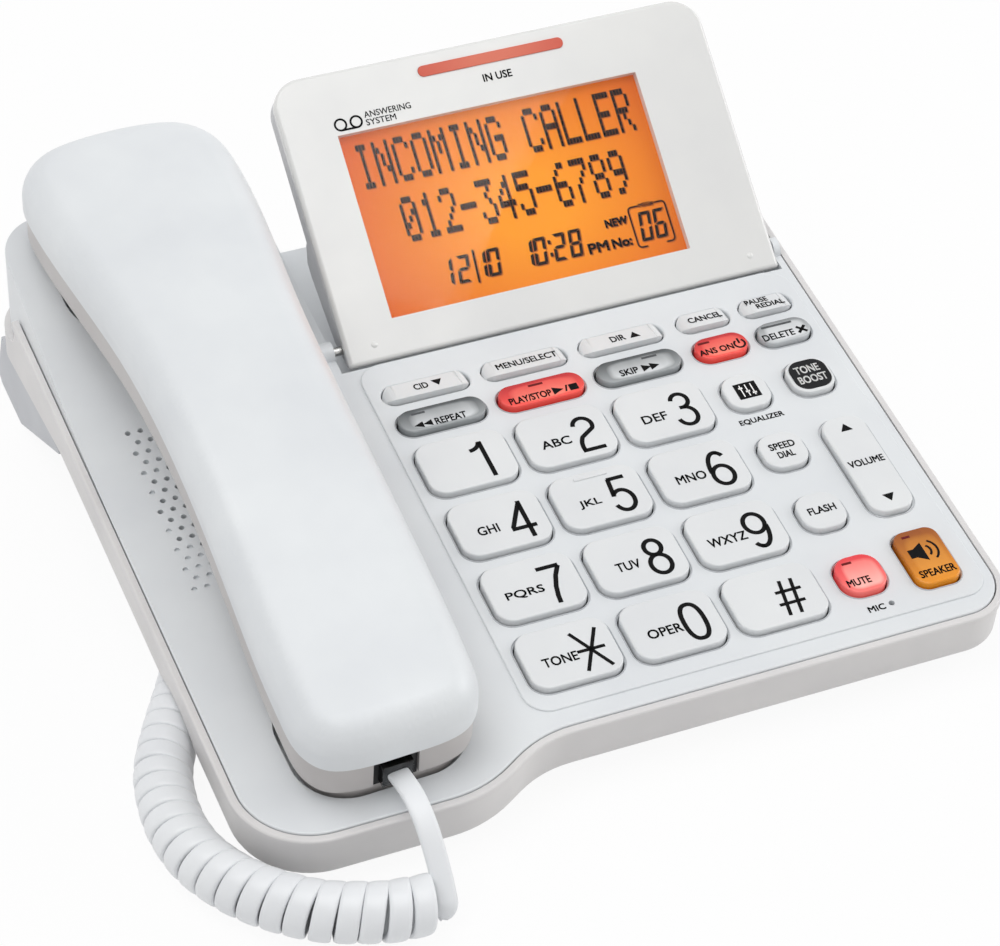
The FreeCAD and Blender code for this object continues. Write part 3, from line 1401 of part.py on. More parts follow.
# ---------------------------------------------------------------- assembly
def head_pieces():
    """The display head's pieces in its own frame."""
    return {
        "display_frame": display_frame(),
        "display_window": display_window(),
        "lcd_panel": lcd_panel(),
        "backlight_panel": backlight_panel(),
        "in_use_lamp": in_use_lamp(),
        "display_rear_cover": display_rear_cover(),
        "hinge_pins": hinge_pins(),
    }


def handset_pieces():
    """The handset's pieces in its own frame."""
    return {
        "handset_top_shell": handset_top_shell(),
        "handset_bottom_shell": handset_bottom_shell(),
        "handset_receiver": handset_receiver(),
        "handset_microphone": handset_microphone(),
        "handset_screws": handset_screws(),
        "handset_jack": handset_jack(),
        "handset_cord_plug": handset_cord_plug(),
    }


def base_pieces():
    """The base's pieces in the deck frame."""
    pieces = {
        "top_housing": top_housing(),
        "bottom_housing": bottom_housing(),
        "desk_stand": from_floor(desk_stand()),
        "rubber_feet": from_floor(rubber_feet()),
        "housing_screws": housing_screws(),
        "main_board": main_board(),
        "key_mat": key_mat(),
        "status_leds": status_leds(),
        "loudspeaker": loudspeaker(),
        "hook_switch": hook_switch(),
        "line_jack": line_jack(),
        "power_jack": power_jack(),
        "cord_jack": cord_jack(),
        "base_cord_plug": base_cord_plug(),
    }
    for name, key in key_table().items():
        pieces[name] = key_cap(name, key)
    return pieces


def cord_pieces():
    """The cord's stretches in the floor's frame."""
    return {
        "curly_cord": cord_tube(coil_route(), COIL_DIAMETER, "curly_cord"),
        "handset_cord_lead": cord_tube(handset_lead_route(), LEAD_DIAMETER, "handset_cord_lead"),
        "base_cord_lead": cord_tube(base_lead_route(), LEAD_DIAMETER, "base_cord_lead"),
    }


def assembled():
    """Every piece in the deck frame."""
    pieces = base_pieces()
    for name, shape in head_pieces().items():
        pieces[name] = head_to_base(shape)
    for name, shape in handset_pieces().items():
        pieces[name] = to_base(shape)
    for name, shape in cord_pieces().items():
        pieces[name] = from_floor(shape)
    return pieces


ON_THE_CORD = ("curly_cord", "handset_cord_lead", "base_cord_lead", "handset_cord_plug", "base_cord_plug")


def tipped(shape):
    """From the deck frame to the floor, with Z = 0 under the feet."""
    moved = shape.copy()
    moved.rotate(vec(0, 0), vec(1, 0), DECK_TILT)
    moved.translate(vec(0, 0, DECK_HEIGHT))
    return moved


def main():
    os.makedirs("parts", exist_ok=True)
    pieces = {name: tipped(shape) for name, shape in assembled().items()}
    whole = FreeCAD.BoundBox()
    for name, shape in pieces.items():
        if name not in ON_THE_CORD:
            whole.add(shape.optimalBoundingBox(False))
    middle = vec(-whole.Center.x, -whole.Center.y)
    print("middle moved by", round(middle.x, 3), round(middle.y, 3), "size", round(whole.XLength, 2),
          round(whole.YLength, 2), round(whole.ZMax, 2))
    for name, shape in pieces.items():
        shape.translate(middle)
        shape.exportStep(f"parts/{name}.step")


main()
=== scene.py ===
"""Looks of a corded desk telephone with an answering system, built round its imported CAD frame.

Lengths in the classes are millimetres in the frame that each class names. Place turns them into
the metres of the row frame.
"""

import logging
import math
from dataclasses import dataclass, field
from enum import Enum
from functools import cache
from typing import Callable, ClassVar, Sequence

import bmesh
import bpy
from mathutils import Matrix, Vector


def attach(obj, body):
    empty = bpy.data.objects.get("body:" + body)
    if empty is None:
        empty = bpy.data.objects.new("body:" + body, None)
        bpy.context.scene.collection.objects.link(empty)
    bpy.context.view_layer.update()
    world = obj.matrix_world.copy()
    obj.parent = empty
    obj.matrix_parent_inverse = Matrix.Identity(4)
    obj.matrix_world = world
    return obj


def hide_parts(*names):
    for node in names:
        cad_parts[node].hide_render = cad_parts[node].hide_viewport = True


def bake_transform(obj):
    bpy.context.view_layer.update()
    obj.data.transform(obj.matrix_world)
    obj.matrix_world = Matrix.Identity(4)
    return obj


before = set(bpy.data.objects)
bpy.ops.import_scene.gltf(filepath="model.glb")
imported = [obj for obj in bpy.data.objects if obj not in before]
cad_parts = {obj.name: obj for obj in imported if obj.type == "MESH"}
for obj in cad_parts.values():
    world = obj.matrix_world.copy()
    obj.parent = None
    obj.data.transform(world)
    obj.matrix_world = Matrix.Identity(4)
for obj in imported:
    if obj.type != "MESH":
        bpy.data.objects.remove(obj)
LOG = logging.getLogger("telephone")

Point = tuple[float, float, float]
Flat = tuple[float, float]
Box = tuple[float, float, float, float]
Colour = tuple[int, int, int]
Piece = bpy.types.Object
Socket = bpy.types.NodeSocket
EdgeTest = Callable[[Vector, Vector], bool]


# ------------------------------------------------------------------------------ places
class Place:
    """The frames that the telephone is drawn in, each as a matrix from millimetres to the row frame."""

    MM = 0.001
    DECK_LIFT = 25.0
    DECK_SLOPE = math.radians(8.0)
    HEAD_Y = 85.0
    HEAD_SLOPE = math.radians(32.45)
    FLOOR = Matrix.Scale(MM, 4) @ Matrix.Translation((8.728, -52.775, 0.0))
    DECK = FLOOR @ Matrix.Translation((0, 0, DECK_LIFT)) @ Matrix.Rotation(DECK_SLOPE, 4, "X")
    HEAD = DECK @ Matrix.Translation((0, HEAD_Y, 0)) @ Matrix.Rotation(HEAD_SLOPE, 4, "X")

    @staticmethod
    def on(base: Matrix, x: float, y: float, z: float, slope: float = 0.0) -> Matrix:
        """A frame at a point of another one, tipped about its X axis by slope degrees."""
        return base @ Matrix.Translation((x, y, z)) @ Matrix.Rotation(math.radians(slope), 4, "X")


# ------------------------------------------------------------------------------ finishes
def linear(colour: Colour) -> Box:
    """Turns a colour of 0 to 255 a channel into the linear values that shaders take.

    Args:
        colour: Red, green and blue as seen on a screen.

    Returns:
        Linear red, green, blue and an alpha of 1.
    """
    parts = [c / 255 for c in colour]
    red, green, blue = [c / 12.92 if c <= 0.04045 else ((c + 0.055) / 1.055) ** 2.4 for c in parts]
    return red, green, blue, 1.0


def shaded(colour: Colour, *by: int) -> Colour:
    """A colour with its channels moved by one step or by one each, within 0 to 255."""
    steps = by * 3 if len(by) == 1 else by
    return tuple(min(max(c + step, 0), 255) for c, step in zip(colour, steps))


class Nodes:
    """A small bench for wiring one material."""

    def __init__(self, name: str) -> None:
        """Starts a node material with a Principled shader.

        Args:
            name: The material's name.
        """
        self.material = bpy.data.materials.new(name)
        self.material.use_nodes = True
        self.tree = self.material.node_tree
        self.shader = self.tree.nodes["Principled BSDF"]
        self.where = self.add("ShaderNodeTexCoord").outputs["Object"]

    def add(self, kind: str, **values: object) -> bpy.types.Node:
        """Adds a node and sets its properties or its named inputs.

        Args:
            kind: The node's type name.
            values: Property or input names, with underscores for spaces, and what they get.

        Returns:
            The new node.
        """
        node = self.tree.nodes.new(kind)
        for key, value in values.items():
            label = key.replace("_", " ").title()
            if label in node.inputs:
                self.set(node.inputs[label], value)
            else:
                setattr(node, key, value)
        return node

    def set(self, socket: Socket, value: object) -> None:
        """Feeds a socket.

        Args:
            socket: The input.
            value: An output to link to it, or the value that it gets.
        """
        if isinstance(value, bpy.types.NodeSocket):
            self.tree.links.new(value, socket)
        else:
            socket.default_value = value

    def give(self, **values: object) -> None:
        """Feeds the shader.

        Args:
            values: Names of its inputs, with underscores for spaces, and what they get.
        """
        names = {s.name.lower().replace(" ", "_"): s for s in self.shader.inputs}
        for key, value in values.items():
            self.set(names[key], value)

    def noise(self, scale: float, detail: float = 2.0, stretch: Point = (1.0, 1.0, 1.0)) -> Socket:
        """Noise of a scale per metre, stretched by direction, as a factor."""
        where = self.add("ShaderNodeMapping", vector=self.where, scale=stretch).outputs[0]
        return self.add("ShaderNodeTexNoise", vector=where, scale=scale, detail=detail).outputs["Fac"]

    def blend(self, factor: Socket, first: object, second: object) -> Socket:
        """Mixes two colours.

        Args:
            factor: How much of the second is in it, 0 to 1.
            first: A colour or an output.
            second: The other one.

        Returns:
            The mixed colour.
        """
        node = self.add("ShaderNodeMix", data_type="RGBA")
        self.set(node.inputs["Factor"], factor)
        for place, tone in ((6, first), (7, second)):
            self.set(node.inputs[place], tone if isinstance(tone, bpy.types.NodeSocket) else linear(tone))
        return node.outputs[2]

    def mottle(self, noise: Socket, colour: Colour, other: Colour) -> None:
        """Gives the shader a colour that wanders between two with a noise."""
        self.give(base_color=self.blend(self.spread(noise, 0.0, 1.0), colour, other))

    def math(self, operation: str, *values: object) -> Socket:
        """Does one sum.

        Args:
            operation: The sum's name.
            values: Outputs or numbers that go into it.

        Returns:
            Its result.
        """
        node = self.add("ShaderNodeMath", operation=operation)
        for place, value in enumerate(values):
            self.set(node.inputs[place], value)
        return node.outputs[0]

    def about(self, centre: Point, reach: Point) -> Socket:
        """Coordinates about a point, each 1 at its reach."""
        shift = [-c / r for c, r in zip(centre, reach)]
        grow = [1 / r for r in reach]
        return self.add("ShaderNodeMapping", vector=self.where, location=shift, scale=grow).outputs[0]

    def spread(self, value: Socket, low: float, high: float, start: float = 0.3, end: float = 0.7) -> Socket:
        """Maps a value to another span, clamped.

        Args:
            value: What is mapped.
            low: The result at start.
            high: The result at end.
            start: Where the span of the value starts.
            end: Where it ends.

        Returns:
            The mapped value.
        """
        node = self.add("ShaderNodeMapRange", value=value)
        for name, number in (("From Min", start), ("From Max", end), ("To Min", low), ("To Max", high)):
            node.inputs[name].default_value = number
        return node.outputs[0]

    def bump(self, height: Socket, strength: float, depth: float) -> None:
        """Feeds the shader a bump of a height map, depth in metres."""
        node = self.add("ShaderNodeBump", height=height, strength=strength, distance=depth)
        self.give(normal=node.outputs[0])


@dataclass(frozen=True)
class Finish:
    """Something that a surface is made of; the same name gives the same material."""

    name: str
    colour: Colour

    def material(self) -> bpy.types.Material:
        """Finds the material, or makes it at its first use.

        Returns:
            The material.
        """
        found = bpy.data.materials.get(self.name)
        if found is None:
            nodes = Nodes(self.name)
            self.wire(nodes)
            found = nodes.material
        return found

    def wire(self, nodes: Nodes) -> None:
        """Wires the look on the nodes; each kind of finish has its own."""
        raise NotImplementedError


@dataclass(frozen=True)
class Plastic(Finish):
    """Moulded plastic with a fine spark-eroded grain and slightly uneven colour."""

    rough: float = 0.36
    grain: float = 0.12
    coat: float = 0.0
    sheen: float = 0.45

    def wire(self, nodes: Nodes) -> None:
        """Wires grain as bump, cloudy colour and roughness, and a soft mould shine.

        Args:
            nodes: The material's bench.
        """
        cloud = nodes.noise(38.0, 3.0)
        nodes.mottle(cloud, self.colour, shaded(self.colour, -7, -7, -6))
        nodes.give(roughness=nodes.spread(cloud, self.rough - 0.03, self.rough + 0.04))
        nodes.give(specular_ior_level=self.sheen, coat_weight=self.coat, coat_roughness=0.06)
        nodes.bump(nodes.noise(2600.0), self.grain, 0.00006)


@dataclass(frozen=True)
class Clear(Finish):
    """Clear tinted acrylic."""

    rough: float = 0.04

    def wire(self, nodes: Nodes) -> None:
        """Wires transmission with faint flow lines from moulding.

        Args:
            nodes: The material's bench.
        """
        nodes.give(base_color=linear(self.colour), transmission_weight=1.0, ior=1.46)
        flow = nodes.noise(220.0, 2.0, (1.0, 0.3, 1.0))
        nodes.give(roughness=nodes.spread(flow, self.rough * 0.6, self.rough * 1.6))
        nodes.bump(flow, 0.06, 0.0001)


@dataclass(frozen=True)
class Pane(Finish):
    """A thin clear pane: nearly all goes through, and a faint mirror stays."""

    share: float = 0.012

    def wire(self, nodes: Nodes) -> None:
        """Wires a mirror of small weight, with slow waves from moulding.

        Args:
            nodes: The material's bench.
        """
        flow = nodes.noise(30.0, 1.0)
        nodes.give(base_color=linear(self.colour), metallic=1.0)
        nodes.give(alpha=nodes.spread(flow, self.share * 0.95, self.share * 1.05))
        nodes.give(roughness=nodes.spread(flow, 0.01, 0.02))


@dataclass(frozen=True)
class Glow(Finish):
    """A lit diffuser: brighter in its middle, deeper towards its edges."""

    edge: Colour
    centre: Point
    reach: Point
    light: float

    def wire(self, nodes: Nodes) -> None:
        """Wires a radial gradient on the piece's place, with a paper-fine mottle.

        Args:
            nodes: The material's bench.
        """
        where = nodes.about(self.centre, self.reach)
        ball = nodes.add("ShaderNodeTexGradient", gradient_type="SPHERICAL", vector=where).outputs["Fac"]
        paper = nodes.noise(900.0)
        mixed = nodes.math("MULTIPLY_ADD", paper, 0.06, ball)
        tone = nodes.blend(nodes.spread(mixed, 0.0, 1.0, 0.02, 0.85), self.edge, self.colour)
        nodes.give(base_color=tone, emission_color=tone, emission_strength=self.light, roughness=0.6)
        nodes.give(specular_ior_level=0.1)
        nodes.bump(paper, 0.05, 0.00005)


@dataclass(frozen=True)
class PaintedLightLens(Finish):
    """A clear tinted cap over a diffuser, with its light painted into its colour: painted shade deepens its
    rim at the far side, a paler window paints the light through the cap, and a painted glow lights it though
    it is no lamp.
    """

    far: Colour
    window_near: Colour
    window_far: Colour
    centre: Point
    reach: Point
    # strength of a painted glow; the cap is no lamp
    light: float

    def wire(self, nodes: Nodes) -> None:
        """Wires painted shade and light: two gradients from near to far, one in a soft-cornered window, under
        a glossy coat.

        Args:
            nodes: The material's bench.
        """
        place = nodes.add("ShaderNodeSeparateXYZ", vector=nodes.about(self.centre, self.reach)).outputs
        squares = [nodes.math("POWER", nodes.math("ABSOLUTE", axis), 4.0) for axis in (place[0], place[1])]
        flow = nodes.noise(260.0, 2.0, (1.0, 0.4, 1.0))
        edge = nodes.math("MULTIPLY_ADD", flow, 0.25, nodes.math("ADD", *squares))
        window = nodes.spread(edge, 1.0, 0.0, 0.45, 0.95)
        # painted shade: the colour darkens from the near side of the cap to the far side
        fall = nodes.spread(nodes.math("MULTIPLY_ADD", flow, 0.5, place[1]), 0.0, 1.0, -0.9, 1.4)
        rim = nodes.blend(fall, self.colour, self.far)
        # the paler window is painted light through the clear cap
        tone = nodes.blend(window, rim, nodes.blend(fall, self.window_near, self.window_far))
        # painted glow: the cap gives off light though it is no lamp
        nodes.give(base_color=tone, emission_color=tone, emission_strength=self.light)
        nodes.give(roughness=nodes.spread(flow, 0.1, 0.2), coat_weight=0.45, coat_roughness=0.04)
        nodes.give(specular_ior_level=0.2)
        nodes.bump(flow, 0.1, 0.0002)


@dataclass(frozen=True)
class Ink(Finish):
    """Printed ink, thin and slightly uneven."""

    rough: float = 0.5

    def wire(self, nodes: Nodes) -> None:
        """Wires a colour with pinholes of roughness.

        Args:
            nodes: The material's bench.
        """
        speck = nodes.noise(3000.0, 1.0)
        nodes.mottle(speck, self.colour, shaded(self.colour, 9))
        nodes.give(roughness=nodes.spread(speck, self.rough - 0.06, self.rough + 0.06))
        nodes.give(specular_ior_level=0.06)
        nodes.bump(speck, 0.05, 0.00002)


@dataclass(frozen=True)
class Rubber(Finish):
    """Soft matt rubber."""

    rough: float = 0.6

    def wire(self, nodes: Nodes) -> None:
        """Wires a matt, faintly pitted skin.

        Args:
            nodes: The material's bench.
        """
        pits = nodes.noise(1500.0, 4.0)
        nodes.mottle(pits, self.colour, shaded(self.colour, -10))
        nodes.give(roughness=nodes.spread(pits, self.rough - 0.08, self.rough + 0.06))
        nodes.give(specular_ior_level=0.35)
        nodes.bump(pits, 0.15, 0.00008)


@dataclass(frozen=True)
class Metal(Finish):
    """Plated steel with turning marks."""

    rough: float = 0.3

    def wire(self, nodes: Nodes) -> None:
        """Wires fine marks along the metal.

        Args:
            nodes: The material's bench.
        """
        marks = nodes.noise(900.0, 3.0, (1.0, 1.0, 0.15))
        nodes.mottle(marks, self.colour, shaded(self.colour, -22))
        nodes.give(roughness=nodes.spread(marks, self.rough - 0.08, self.rough + 0.1), metallic=1.0)
        nodes.bump(marks, 0.1, 0.00005)


@dataclass(frozen=True)
class Board(Finish):
    """Lacquered circuit board with tracks showing through."""

    def wire(self, nodes: Nodes) -> None:
        """Wires square tracks under a lacquer.

        Args:
            nodes: The material's bench.
        """
        tracks = nodes.add("ShaderNodeTexBrick", vector=nodes.where, scale=260.0)
        for name, by in (("Color1", 0), ("Color2", 26), ("Mortar", -14)):
            nodes.set(tracks.inputs[name], linear(shaded(self.colour, by)))
        nodes.give(base_color=tracks.outputs["Color"], roughness=0.35, coat_weight=0.4)
        nodes.bump(tracks.outputs["Fac"], 0.2, 0.00005)


WHITE = Plastic("white_shell", (226, 229, 231))
KEY_WHITE = Plastic("white_keycap", (227, 229, 230), rough=0.34, grain=0.05)
FACE_WHITE = Plastic("display_face_gloss", (228, 228, 226), rough=0.2, grain=0.015, coat=0.25)
GREY = Plastic("grey_lower_shell", (220, 218, 217), rough=0.4)
CUP_GREY = Plastic("grey_handset_shell", (196, 192, 190), rough=0.3, grain=0.06)
COVER_GREY = Plastic("grey_rear_cover", (204, 205, 207), rough=0.42)
STAND_GREY = Plastic("grey_stand", (196, 198, 202), rough=0.45)
# a darker copy of the white plastic for the beads round the key holes: painted shade along them
RIM_SHADE_GREY = Plastic("white_rim", (196, 199, 202))
CORD_WHITE = Plastic("white_cord_vinyl", (236, 238, 240), rough=0.38, grain=0.05)
JACK_BLACK = Plastic("black_jack", (28, 28, 30), rough=0.4)
GLOSS_BLACK = Plastic("black_pad", (17, 18, 21), rough=0.3, grain=0.03, sheen=0.2)
FOOT_RUBBER = Rubber("foot_rubber", (58, 58, 60))
MAT_RUBBER = Rubber("key_mat_rubber", (150, 152, 154))
STEEL = Metal("plated_steel", (190, 190, 188))
BOARD = Board("green_board", (38, 84, 56))
PANE = Pane("window_pane", (250, 250, 250))
PLUG_CLEAR = Clear("plug_acrylic", (205, 208, 212), rough=0.06)
INK = Ink("black_print", (11, 11, 12))
PALE_INK = Ink("white_print", (246, 246, 245))
SEGMENT_INK = Ink("screen_segments", (16, 6, 3))
SHADE_INK = Ink("screen_segment_shadow", (186, 92, 34))
LED_RED = Ink("dark_led_window", (104, 34, 34), rough=0.25)
LED_GREY = Ink("grey_led_window", (84, 86, 88), rough=0.25)


# ------------------------------------------------------------------------------ the bench
class Bench:
    """Modelling steps on one piece at a time, in millimetres, before it is set down in its place."""

    @staticmethod
    def clear() -> None:
        """Selects nothing."""
        bpy.ops.object.select_all(action="DESELECT")

    @staticmethod
    def take(piece: Piece) -> None:
        """Selects one piece alone and makes it active."""
        Bench.clear()
        piece.select_set(True)
        bpy.context.view_layer.objects.active = piece

    @staticmethod
    def link(name: str, data: bpy.types.ID | None) -> Piece:
        """Puts a mesh, curve, light or camera in the scene as an object of that name."""
        piece = bpy.data.objects.new(name, data)
        bpy.context.scene.collection.objects.link(piece)
        return piece

    @staticmethod
    def block(name: str, centre: Point, size: Point) -> Piece:
        """Adds a block, with its size and place in its mesh.

        Args:
            name: The piece's name.
            centre: Its middle.
            size: Its three widths.

        Returns:
            The block.
        """
        Bench.clear()
        bpy.ops.mesh.primitive_cube_add(size=1.0, location=centre, scale=size)
        piece = bpy.context.active_object
        piece.name = name
        bpy.ops.object.transform_apply(location=True, rotation=True, scale=True)
        return piece

    @staticmethod
    def surface(name: str, points: Sequence[Sequence[float]], faces: Sequence[Sequence[int]]) -> Piece:
        """Adds a surface of points and faces, with its faces turned outwards.

        Args:
            name: The piece's name.
            points: Its corners.
            faces: Places of each face's corners among them.

        Returns:
            The surface.
        """
        data = bpy.data.meshes.new(name)
        data.from_pydata(points, [], faces)
        piece = Bench.link(name, data)
        Bench.take(piece)
        bpy.ops.object.mode_set(mode="EDIT")
        bpy.ops.mesh.select_all(action="SELECT")
        bpy.ops.mesh.normals_make_consistent(inside=False)
        Bench.done()
        return piece

    @staticmethod
    def pick_edges(piece: Piece, test: EdgeTest) -> None:
        """Goes into edit mode with some edges selected.

        Args:
            piece: The piece.
            test: Passed by the two ends of the edges that are wanted.
        """
        Bench.take(piece)
        bpy.ops.object.mode_set(mode="EDIT")
        bpy.ops.mesh.select_mode(type="EDGE")
        bpy.ops.mesh.select_all(action="DESELECT")
        work = bmesh.from_edit_mesh(piece.data)
        for edge in work.edges:
            edge.select_set(test(edge.verts[0].co, edge.verts[1].co))
        bmesh.update_edit_mesh(piece.data)

    @staticmethod
    def done() -> None:
        """Leaves edit mode."""
        bpy.ops.object.mode_set(mode="OBJECT")

    @staticmethod
    def round_edges(piece: Piece, test: EdgeTest, width: float, steps: int) -> None:
        """Rounds some edges.

        Args:
            piece: The piece.
            test: Passed by the two ends of the edges that are rounded.
            width: How far the rounding reaches.
            steps: Its number of strips.
        """
        Bench.pick_edges(piece, test)
        bpy.ops.mesh.bevel(offset=width, segments=steps, affect="EDGES")
        Bench.done()

    @staticmethod
    def apply(piece: Piece, kind: str, **values: object) -> None:
        """Adds a modifier and applies it.

        Args:
            piece: The piece.
            kind: The modifier's type.
            values: Its settings.
        """
        Bench.take(piece)
        bpy.ops.object.modifier_add(type=kind)
        modifier = piece.modifiers[-1]
        for key, value in values.items():
            setattr(modifier, key, value)
        bpy.ops.object.modifier_apply(modifier=modifier.name)

    @staticmethod
    def merge(pieces: Sequence[Piece], name: str) -> Piece:
        """Joins pieces into one.

        Args:
            pieces: What is joined.
            name: The name that the one gets.

        Returns:
            The joined piece.
        """
        Bench.take(pieces[0])
        for piece in pieces:
            piece.select_set(True)
        if len(pieces) > 1:
            bpy.ops.object.join()
        pieces[0].name = name
        return pieces[0]

    @staticmethod
    def smooth(piece: Piece, angle: float = 35.0, level: bool = False) -> None:
        """Shades a piece smooth.

        Args:
            piece: The piece.
            angle: Edges sharper than this, in degrees, stay crisp.
            level: Whether its flats are kept level.
        """
        Bench.take(piece)
        bpy.ops.object.shade_smooth_by_angle(angle=math.radians(angle))
        if level:
            Bench.apply(piece, "WEIGHTED_NORMAL", keep_sharp=True, weight=60)

    @staticmethod
    def dress(piece: Piece, finish: Finish) -> None:
        """Gives a piece its one finish."""
        piece.data.materials.clear()
        piece.data.materials.append(finish.material())

    @staticmethod
    def set_down(piece: Piece, place: Matrix) -> None:
        """Puts a piece drawn in millimetres in its place, with the place in its mesh."""
        piece.data.transform(place @ piece.matrix_world)
        piece.matrix_world = Matrix.Identity(4)
        piece.data.update()

    @staticmethod
    def fit(piece: Piece, body: str, slot: str, *nodes: str) -> None:
        """Lets a piece ride on its body and stand for nodes.

        Args:
            piece: The finished piece.
            body: The body that it moves with.
            slot: Not used.
            nodes: CAD nodes that it stands for.
        """
        if nodes:
            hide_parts(*nodes)
        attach(piece, body)
        LOG.info("%s on %s, %d faces", piece.name, body, len(piece.data.polygons))


@dataclass(frozen=True)
class Shell:
    """A CAD node that is shown as a merged and smoothed copy of itself."""

    node: str
    name: str
    finish: Finish
    body: str
    slot: str

    WELD: ClassVar[float] = 0.000002
    CRISP: ClassVar[float] = 30.0

    def build(self) -> None:
        """Builds the copy, which stands for the node."""
        piece = Bench.link(self.name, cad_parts[self.node].data.copy())
        Bench.take(piece)
        bpy.ops.mesh.customdata_custom_splitnormals_clear()
        bpy.ops.object.mode_set(mode="EDIT")
        bpy.ops.mesh.select_all(action="SELECT")
        bpy.ops.mesh.remove_doubles(threshold=self.WELD)
        Bench.done()
        Bench.smooth(piece, self.CRISP, level=True)
        Bench.dress(piece, self.finish)
        Bench.fit(piece, self.body, self.slot, self.node)


# ------------------------------------------------------------------------------ outlines
def sweep(centre: Flat, radii: Flat, start: float, end: float, steps: int = 26) -> list[Flat]:
    """Points along part of an ellipse.

    Args:
        centre: Its middle.
        radii: Its half width and half height.
        start: Angle of the first point in degrees.
        end: Angle of the last point.
        steps: Number of spans.

    Returns:
        The points in order.
    """
    turns = [math.radians(start + (end - start) * i / steps) for i in range(steps + 1)]
    return [(centre[0] + radii[0] * math.cos(t), centre[1] + radii[1] * math.sin(t)) for t in turns]


def triangle(x: float, y: float, width: float, height: float) -> list[Flat]:
    """A triangle standing on its base, or hanging when its height is negative."""
    return [(x - width / 2, y - height / 2), (x + width / 2, y - height / 2), (x, y + height / 2)]


def sideways(x: float, y: float, width: float, height: float) -> list[Flat]:
    """A triangle that points right, or left when its width is negative."""
    return [(x - width / 2, y - height / 2), (x + width / 2, y), (x - width / 2, y + height / 2)]


def rectangle(x0: float, x1: float, y0: float, y1: float) -> list[Flat]:
    """A rectangle's corners."""
    return [(x0, y0), (x1, y0), (x1, y1), (x0, y1)]


# ------------------------------------------------------------------------------ print
@dataclass(frozen=True, kw_only=True)
class Mark:
    """Something printed flat, a few hundredths of a millimetre thick."""

    ink: Finish = INK
    lift: float = 0.0

    THICK: ClassVar[float] = 0.03

    def draw(self) -> Piece:
        """Draws the mark; each kind has its own way."""
        raise NotImplementedError

    def printed(self) -> Piece:
        """Draws the mark in its ink.

        Returns:
            The mark, raised by its lift.
        """
        piece = self.draw()
        Bench.dress(piece, self.ink)
        piece.data.transform(Matrix.Translation((0, 0, self.lift)))
        return piece

    @staticmethod
    def sheet(name: str, marks: Sequence["Mark"], place: Matrix, body: str,
              slot: str = "black_plastic") -> None:
        """Prints marks as one piece.

        Args:
            name: The piece's name.
            marks: What is printed.
            place: Where, as a frame whose XY plane they lie on.
            body: The body that carries them.
            slot: The record's material slot.
        """
        piece = Bench.merge([mark.printed() for mark in marks], name)
        Bench.set_down(piece, place)
        Bench.fit(piece, body, slot)

    def film(self, points: Sequence[Flat], faces: Sequence[Sequence[int]]) -> Piece:
        """Makes a flat film face up and gives it its thickness.

        Args:
            points: Its corners.
            faces: Places of each face's corners among them.

        Returns:
            The film.
        """
        piece = Bench.surface("film", [(x, y, 0.0) for x, y in points], faces)
        if sum(p.normal.z * p.area for p in piece.data.polygons) < 0:
            piece.data.flip_normals()
        Bench.apply(piece, "SOLIDIFY", thickness=self.THICK, offset=1.0)
        return piece


@dataclass(frozen=True)
class Filled(Mark):
    """Filled outlines, each convex or nearly so."""

    outlines: Sequence[Sequence[Flat]]

    def draw(self) -> Piece:
        """Draws each outline as one face.

        Returns:
            The flat piece.
        """
        points: list[Flat] = []
        faces: list[list[int]] = []
        for outline in self.outlines:
            faces.append(list(range(len(points), len(points) + len(outline))))
            points += list(outline)
        return self.film(points, faces)


@dataclass(frozen=True)
class Lines(Mark):
    """Bands of an even width along centre lines; a line that ends where it starts is closed."""

    lines: Sequence[Sequence[Flat]]
    width: float

    def draw(self) -> Piece:
        """Draws a strip of faces along each line.

        Returns:
            The flat piece.
        """
        points: list[Flat] = []
        faces: list[list[int]] = []
        for line in self.lines:
            closed = math.dist(line[0], line[-1]) < 1e-6
            run = list(line[:-1]) if closed else list(line)
            count, first = len(run), len(points)
            for i, (x, y) in enumerate(run):
                before = run[i - 1] if closed or i else run[i]
                after = run[(i + 1) % count] if closed or i < count - 1 else run[i]
                along = Vector((after[0] - before[0], after[1] - before[1])).normalized() * self.width / 2
                points += [(x - along.y, y + along.x), (x + along.y, y - along.x)]
            for i in range(count if closed else count - 1):
                a, b = first + 2 * i, first + 2 * ((i + 1) % count)
                faces.append([a, a + 1, b + 1, b])
        return self.film(points, faces)


@dataclass(frozen=True)
class Word(Mark):
    """Letters stretched to fill a box: its left, right, lower and upper edge."""

    text: str
    box: Box
    heavy: float = 0.06

    def draw(self) -> Piece:
        """Draws the letters; four copies shifted by heavy each way fatten their strokes.

        Returns:
            The flat piece.
        """
        Bench.clear()
        bpy.ops.object.text_add()
        letters = bpy.context.active_object
        letters.data.body = self.text
        letters.data.resolution_u = 3
        letters.data.extrude = 0.02
        bpy.ops.object.convert(target="MESH")
        piece = bpy.context.active_object
        spots = [v.co for v in piece.data.vertices]
        x0, x1 = min(p.x for p in spots), max(p.x for p in spots)
        y0, y1 = min(p.y for p in spots), max(p.y for p in spots)
        left, right, low, high = self.box
        for vertex in piece.data.vertices:
            at = vertex.co
            vertex.co = (left + (at.x - x0) / (x1 - x0) * (right - left),
                         low + (at.y - y0) / (y1 - y0) * (high - low), self.THICK if at.z > 0 else 0.0)
        copies = []
        for side_x, side_y in ((-1, -1), (1, -1), (1, 1), (-1, 1)):
            copy = Bench.link("word", piece.data.copy())
            copy.data.transform(Matrix.Translation((side_x * self.heavy, side_y * self.heavy, 0.0)))
            copies.append(copy)
        bpy.data.objects.remove(piece)
        return Bench.merge(copies, "word")


